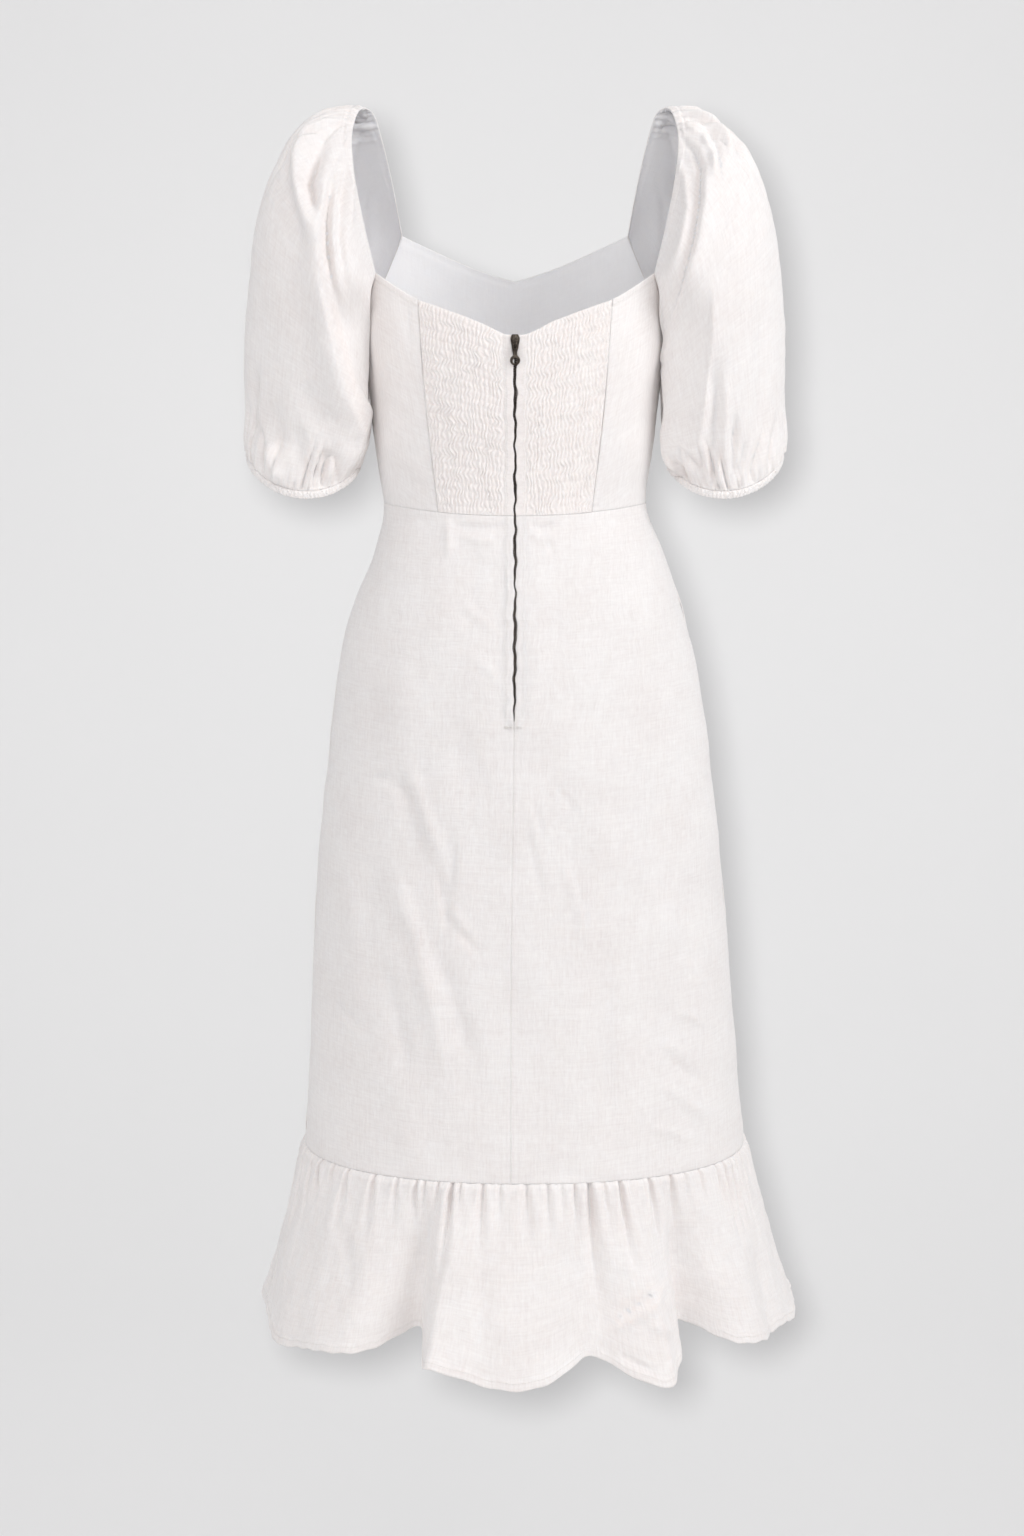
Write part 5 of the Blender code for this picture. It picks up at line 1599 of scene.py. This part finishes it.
@dataclass(frozen=True)
class Zip:
    """Metal zip: two rows of teeth on their tapes, a slider and its pull tab."""

    tooth: tuple[float, float, float] = (0.0024, 0.0015, 0.00115)  # across, out, along the tape
    tooth_pitch: float = 0.0023
    tooth_bevel: float = 0.00028
    behind: float = 0.0001  # face of the cloth to the outside of the teeth
    slider_size: tuple[float, float, float] = (0.0086, 0.0022, 0.0132)
    slider_low_width: float = 0.0058
    slider_bevel: float = 0.0004
    pull_drop: float = 0.0095
    pull_stand: float = 0.0013
    bridge_radius: float = 0.0021
    bridge_wire: float = 0.0006
    tab_length: float = 0.0190
    tab_thickness: float = 0.0010
    tab_bevel: float = 0.0002
    tab_end_radius: float = 0.0047
    tab_hole_radius: float = 0.0022
    tab_side: tuple[Place, ...] = (
        (0.0022, 0.0005), (0.0029, 0.0), (0.0029, -0.0036), (0.0024, -0.0052), (0.0019, -0.0066),
        (0.0019, -0.0088)
    )
    slot_half_width: float = 0.0014
    slot_end: float = -0.0031

    def back_y(self) -> float:
        """y of the cloth behind the slider."""
        ends = np.array([FORM.zip_top, FORM.zip_top - self.slider_size[2]])
        return float(FORM.point(0.0, ends)[:, 1].min()) - 0.0003

    def axis(self) -> Vector:
        """Where the pull tab turns."""
        out = self.back_y() - 0.0020 - self.pull_stand
        return Vector((0.0, out, FORM.zip_top - self.pull_drop))

    def finish(
        self, made: bpy.types.Object, name: str, body: str, nodes: tuple[str, ...],
        finishes: Finishes
    ) -> None:
        """Apply a piece's place, give it the darkened brass and let it ride on its body.

        Args:
            made: The piece.
            name: Its name.
            body: The body that it rides on.
            nodes: The CAD nodes that it replaces.
            finishes: The dress's materials.
        """
        made.name = name
        select_only(made)
        apply_place()
        made.data.materials.clear()
        made.data.materials.append(finishes.brass)
        bpy.ops.object.shade_smooth_by_angle(angle=math.radians(40.0))
        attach(made, body)
        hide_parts(*nodes)
        log.info("%s: %d faces", made.name, len(made.data.polygons))

    def teeth(self, finishes: Finishes) -> None:
        """Both rows of teeth, meshed along the centre back."""
        across, out, along = self.tooth
        select_only()
        bpy.ops.mesh.primitive_cube_add(size=1.0)
        first = bpy.context.object
        first.scale = self.tooth
        apply_place()
        with edit_mode():
            bpy.ops.mesh.bevel(offset=self.tooth_bevel, segments=1, affect="EDGES")
        top, bottom = FORM.zip_top - 0.006, FORM.zip_bottom
        heights = np.arange(bottom + along, top, 0.5 * self.tooth_pitch)
        seats = FORM.point(FORM.turn_at(FORM.centre_back(heights), heights), heights)
        slope = np.gradient(seats[:, 1], seats[:, 2])
        copies = []
        for i, ((x, y, z), lean) in enumerate(zip(seats, slope)):
            side = 1.0 if i % 2 else -1.0
            copy = new_object("tooth", first.data.copy())
            place = Vector((x + side * 0.28 * across, y + self.behind + 0.5 * out, z))
            lean_back = Matrix.Rotation(-math.atan(lean), 4, "X")
            copy.matrix_world = Matrix.Translation(place) @ lean_back
            copies.append(copy)
        bpy.data.objects.remove(first)
        select_only(*copies)
        bpy.ops.object.join()
        self.finish(bpy.context.object, "zip_teeth", DRESS, ("zip_chain",), finishes)

    def slider(self, finishes: Finishes) -> None:
        """Domed and tapered slider with its bridge."""
        width, out, tall = self.slider_size
        narrowing = self.slider_low_width / width - 1.0
        select_only()
        middle = (0.0, self.back_y() - 0.5 * out, FORM.zip_top - 0.5 * tall)
        bpy.ops.mesh.primitive_cube_add(size=1.0, location=middle, scale=(width, out, tall))
        made = bpy.context.object
        bpy.ops.object.transform_apply(location=False, rotation=True, scale=True)
        with edit_mode():
            bpy.ops.mesh.subdivide(number_cuts=3)
        for vertex in made.data.vertices:
            x, y, z = vertex.co
            low = 0.5 - z / tall
            taper = 1.0 + narrowing * float(ease(0.35, 1.0, low))
            crown = 1.0 - 0.35 * float(ease(0.8, 1.0, 1.0 - low))
            dome = 1.0 - 0.25 * (2.0 * x / width) ** 2
            vertex.co = (x * taper * crown, y * dome if y < 0.0 else y, z)
        edges = made.modifiers.new("rounded", "BEVEL")
        edges.width = self.slider_bevel
        edges.segments = 2
        edges.limit_method = "ANGLE"
        bpy.ops.object.modifier_apply(modifier=edges.name)
        bpy.ops.mesh.primitive_torus_add(
            location=self.axis() + Vector((0.0, 0.0008, 0.0)), rotation=(0.0, math.pi / 2.0, 0.0),
            major_radius=self.bridge_radius, minor_radius=self.bridge_wire, major_segments=24,
            minor_segments=10
        )
        select_only(made, bpy.context.object)
        bpy.ops.object.join()
        self.finish(made, "zip_slider_body", DRESS, ("zip_slider",), finishes)

    def pull_tab(self, finishes: Finishes) -> None:
        """Flat tab with a slot for the bridge, a narrow neck and a round end with a hole."""
        end_z = self.tab_end_radius - self.tab_length
        bar = 0.5 * self.tab_thickness
        right = list(self.tab_side)
        left = [(-x, z) for x, z in reversed(right)]
        end_angles = np.radians(np.linspace(60.0, -240.0, 30))
        round_end = oval(self.tab_end_radius, 1.0, end_z, end_angles)
        half, foot = self.slot_half_width, self.slot_end
        slot = [(-half, -bar), (half, -bar), (half, foot), (-half, foot)]
        turn = np.linspace(0.0, math.tau, 20, endpoint=False)
        hole = oval(self.tab_hole_radius, 1.15, end_z - 0.0006, turn)
        curve = bpy.data.curves.new("pull_tab_outline", "CURVE")
        curve.dimensions = "2D"
        curve.fill_mode = "BOTH"
        curve.extrude = bar - self.tab_bevel
        curve.bevel_depth = self.tab_bevel
        curve.bevel_resolution = 1
        curve.offset = -self.tab_bevel
        for outline in (right + round_end + left, slot, hole):
            spline = curve.splines.new("POLY")
            spline.points.add(len(outline) - 1)
            for point, (x, z) in zip(spline.points, outline):
                point.co = (x, z, 0.0, 1.0)
            spline.use_cyclic_u = True
        made = new_object("zip_pull", curve)
        made.rotation_euler = (math.radians(90.0), 0.0, 0.0)
        made.location = self.axis()
        select_only(made)
        bpy.ops.object.convert(target="MESH")
        with edit_mode():
            bpy.ops.mesh.remove_doubles(threshold=0.00001)
            bpy.ops.mesh.normals_make_consistent(inside=False)
        self.finish(bpy.context.object, "zip_pull", PULL_TAB, ("zip_pull_tab",), finishes)


# Stage


@dataclass(frozen=True)
class Studio:
    """Pale floor and backdrop, soft light and the camera behind the dress."""

    backdrop_y: float = 3.9
    front_y: float = -9.0
    floor_z: float = -3.6
    top_z: float = 6.0
    half_width: float = 14.0
    surroundings: str = "#F2F1F2"
    surroundings_strength: float = 0.70
    lamp_white: str = "#FFFEFE"
    camera_place: tuple[float, float, float] = (-0.00285, -2.4625, -0.30067)
    camera_pitch: float = 7.6997
    lens_mm: float = 59.127

    def edit_corner(self, paper: bpy.types.Object) -> None:
        """Select the edge where the floor meets the wall, and edit the paper there."""
        bpy.ops.object.mode_set(mode="OBJECT")
        for edge in paper.data.edges:
            ends = [paper.data.vertices[i].co for i in edge.vertices]
            edge.select = all(
                c.y > self.backdrop_y - 0.01 and c.z < self.floor_z + 0.01 for c in ends
            )
        bpy.ops.object.mode_set(mode="EDIT")

    def backdrop(self) -> bpy.types.Object:
        """A sheet of paper that runs down the wall and over the floor in one curve."""
        select_only()
        bpy.ops.mesh.primitive_plane_add(size=1.0)
        made = bpy.context.object
        made.name = "studio_paper"
        sides = [(x, y) for y in (self.front_y, self.backdrop_y) for x in (-1, 1)]
        for vertex, (side, y) in zip(made.data.vertices, sides):
            vertex.co = (side * self.half_width, y, self.floor_z)

        bpy.ops.object.mode_set(mode="EDIT")
        bpy.ops.mesh.select_all(action="DESELECT")
        bpy.ops.mesh.select_mode(type="EDGE")
        self.edit_corner(made)
        rise = {"value": (0, 0, self.top_z - self.floor_z)}
        bpy.ops.mesh.extrude_edges_move(TRANSFORM_OT_translate=rise)
        self.edit_corner(made)
        bpy.ops.mesh.bevel(offset=1.0, segments=16, affect="EDGES")
        bpy.ops.object.mode_set(mode="OBJECT")
        made.data.shade_smooth()
        made.data.materials.append(BACKDROP_PAPER.material())
        return made

    def lamp(
        self, name: str, place: Sequence[float], target: Sequence[float], size: float, watts: float,
        tint: str
    ) -> bpy.types.Object:
        """A round soft light.

        Args:
            name: Name of the light.
            place: Where it stands.
            target: Where it points.
            size: Its diameter.
            watts: Its power.
            tint: Its colour as a hex value.

        Returns:
            The light.
        """
        data = bpy.data.lights.new(name, "AREA")
        data.shape = "DISK"
        data.size = size
        data.energy = watts
        data.color = colour(tint)[:3]
        made = new_object(name, data)
        made.location = place
        direction = Vector(target) - Vector(place)
        made.rotation_euler = direction.to_track_quat("-Z", "Y").to_euler()
        return made

    def light(self, paper: bpy.types.Object) -> None:
        """Even surroundings, a soft key from the right and a small light for the drop shadow."""
        world = bpy.data.worlds.new("studio")
        bpy.context.scene.world = world
        world.use_nodes = True
        back = world.node_tree.nodes["Background"]
        back.inputs["Color"].default_value = colour(self.surroundings)
        back.inputs["Strength"].default_value = self.surroundings_strength
        for name, place, target_z, size, watts in (
            ("key", (2.4, -1.8, 1.0), -0.5, 1.6, 41.0),
            ("fill", (-2.5, -1.8, -0.5), -0.6, 1.8, 13.5),
            ("front", (0.2, -2.6, 0.5), -0.4, 1.0, 15.0)
        ):
            self.lamp(name, place, (0.0, 0.0, target_z), size, watts, self.lamp_white)
        beside_eye = Vector(self.camera_place) + Vector((-0.024, 0.0, 0.022))
        wall = (0.0, self.backdrop_y, -1.1)
        shade = self.lamp("drop_shadow", beside_eye, wall, 0.07, 150.0, "#FFFFFF")
        lit = bpy.data.collections.new("lit_by_drop_shadow_lamp")
        lit.objects.link(paper)
        shade.light_linking.receiver_collection = lit

    def camera(self) -> None:
        """The camera, level with the middle of the back and pitched down a little."""
        data = bpy.data.cameras.new("view")
        data.lens = self.lens_mm
        made = new_object("view", data)
        made.location = self.camera_place
        made.rotation_euler = (math.radians(90.0 - self.camera_pitch), 0.0, 0.0)
        bpy.context.scene.camera = made
        bpy.context.scene.view_settings.view_transform = "Standard"


def sew_topstitching(cloths: dict[str, Cloth], finishes: Finishes) -> None:
    """Stitch the hem, the neck edges and the strips beside the zip."""
    whole = slice(None)
    stitching = Stitching()
    line = stitching.hem_line
    hem = [
        seam_at_row(cloths[name], line, False, whole) for name in ("ruffle_back", "ruffle_front")
    ]
    stitching.sew("hem_stitches", hem, finishes)
    strips = []
    for side in Side:
        for name in ("back_smocked_panel", "skirt_back"):
            cloth = cloths[f"{name}_{side.word}"]
            rows = cloth.outer[:, 0, 2] > FORM.zip_bottom - 0.002
            rows = slice(1, int(rows.sum()) - 1)
            strips.append(seam_at_column(cloth, stitching.strip_line, rows))
    stitching.sew("zip_strip_stitches", strips, finishes)
    bodice = Bodice()
    armhole, neck = bodice.front_columns
    line = stitching.neck_line
    columns = slice(armhole, armhole + neck + 1)
    edges = [seam_at_row(cloths["front_bodice"], line, True, columns)]
    for side in Side:
        columns = slice(0, bodice.side_columns[0] + 1)
        edges.append(seam_at_row(cloths[f"back_side_panel_{side.word}"], line, True, columns))
    stitching.sew("neck_stitches", edges, finishes)
    tack_z = FORM.zip_bottom - stitching.tack_drop
    tack = []
    for row in range(stitching.tack_rows):
        x = np.linspace(*stitching.tack_ends, 12) + FORM.centre_back(tack_z)
        z = np.full(12, tack_z - stitching.tack_row_gap * row)
        points = FORM.point(FORM.turn_at(x, z), z, 0.0009)
        tack.append((points, np.tile((0.0, -1.0, 0.0), (12, 1))))
    stitching.sew("bar_tack", tack, finishes)


def main() -> None:
    """Build every piece in order."""
    finishes = make_finishes()
    bodice, shirring, skirt, ruffle, sleeve = Bodice(), Shirring(), Skirt(), Ruffle(), Sleeve()
    cloths = [
        bodice.front(), skirt.front(),
        ruffle.half("ruffle_back", -90.0, ("skirt_back_left", "skirt_back_right")),
        ruffle.half("ruffle_front", 90.0, ("skirt_front",))
    ]
    for side in Side:
        cloths += [
            bodice.side_back(side), shirring.panel(side), skirt.back(side), sleeve.puff(side),
            sleeve.cuff(side)
        ]
    for cloth in cloths:
        cloth.make(finishes)
    sew_topstitching({cloth.node: cloth for cloth in cloths}, finishes)
    zip_parts = Zip()
    for make in (zip_parts.teeth, zip_parts.slider, zip_parts.pull_tab):
        make(finishes)
    for side in Side:
        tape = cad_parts[f"zip_tape_{side.word}"]
        tape.data.materials.clear()
        tape.data.materials.append(finishes.tape)
    studio = Studio()
    studio.light(studio.backdrop())
    studio.camera()


if __name__ == "__main__":
    main()
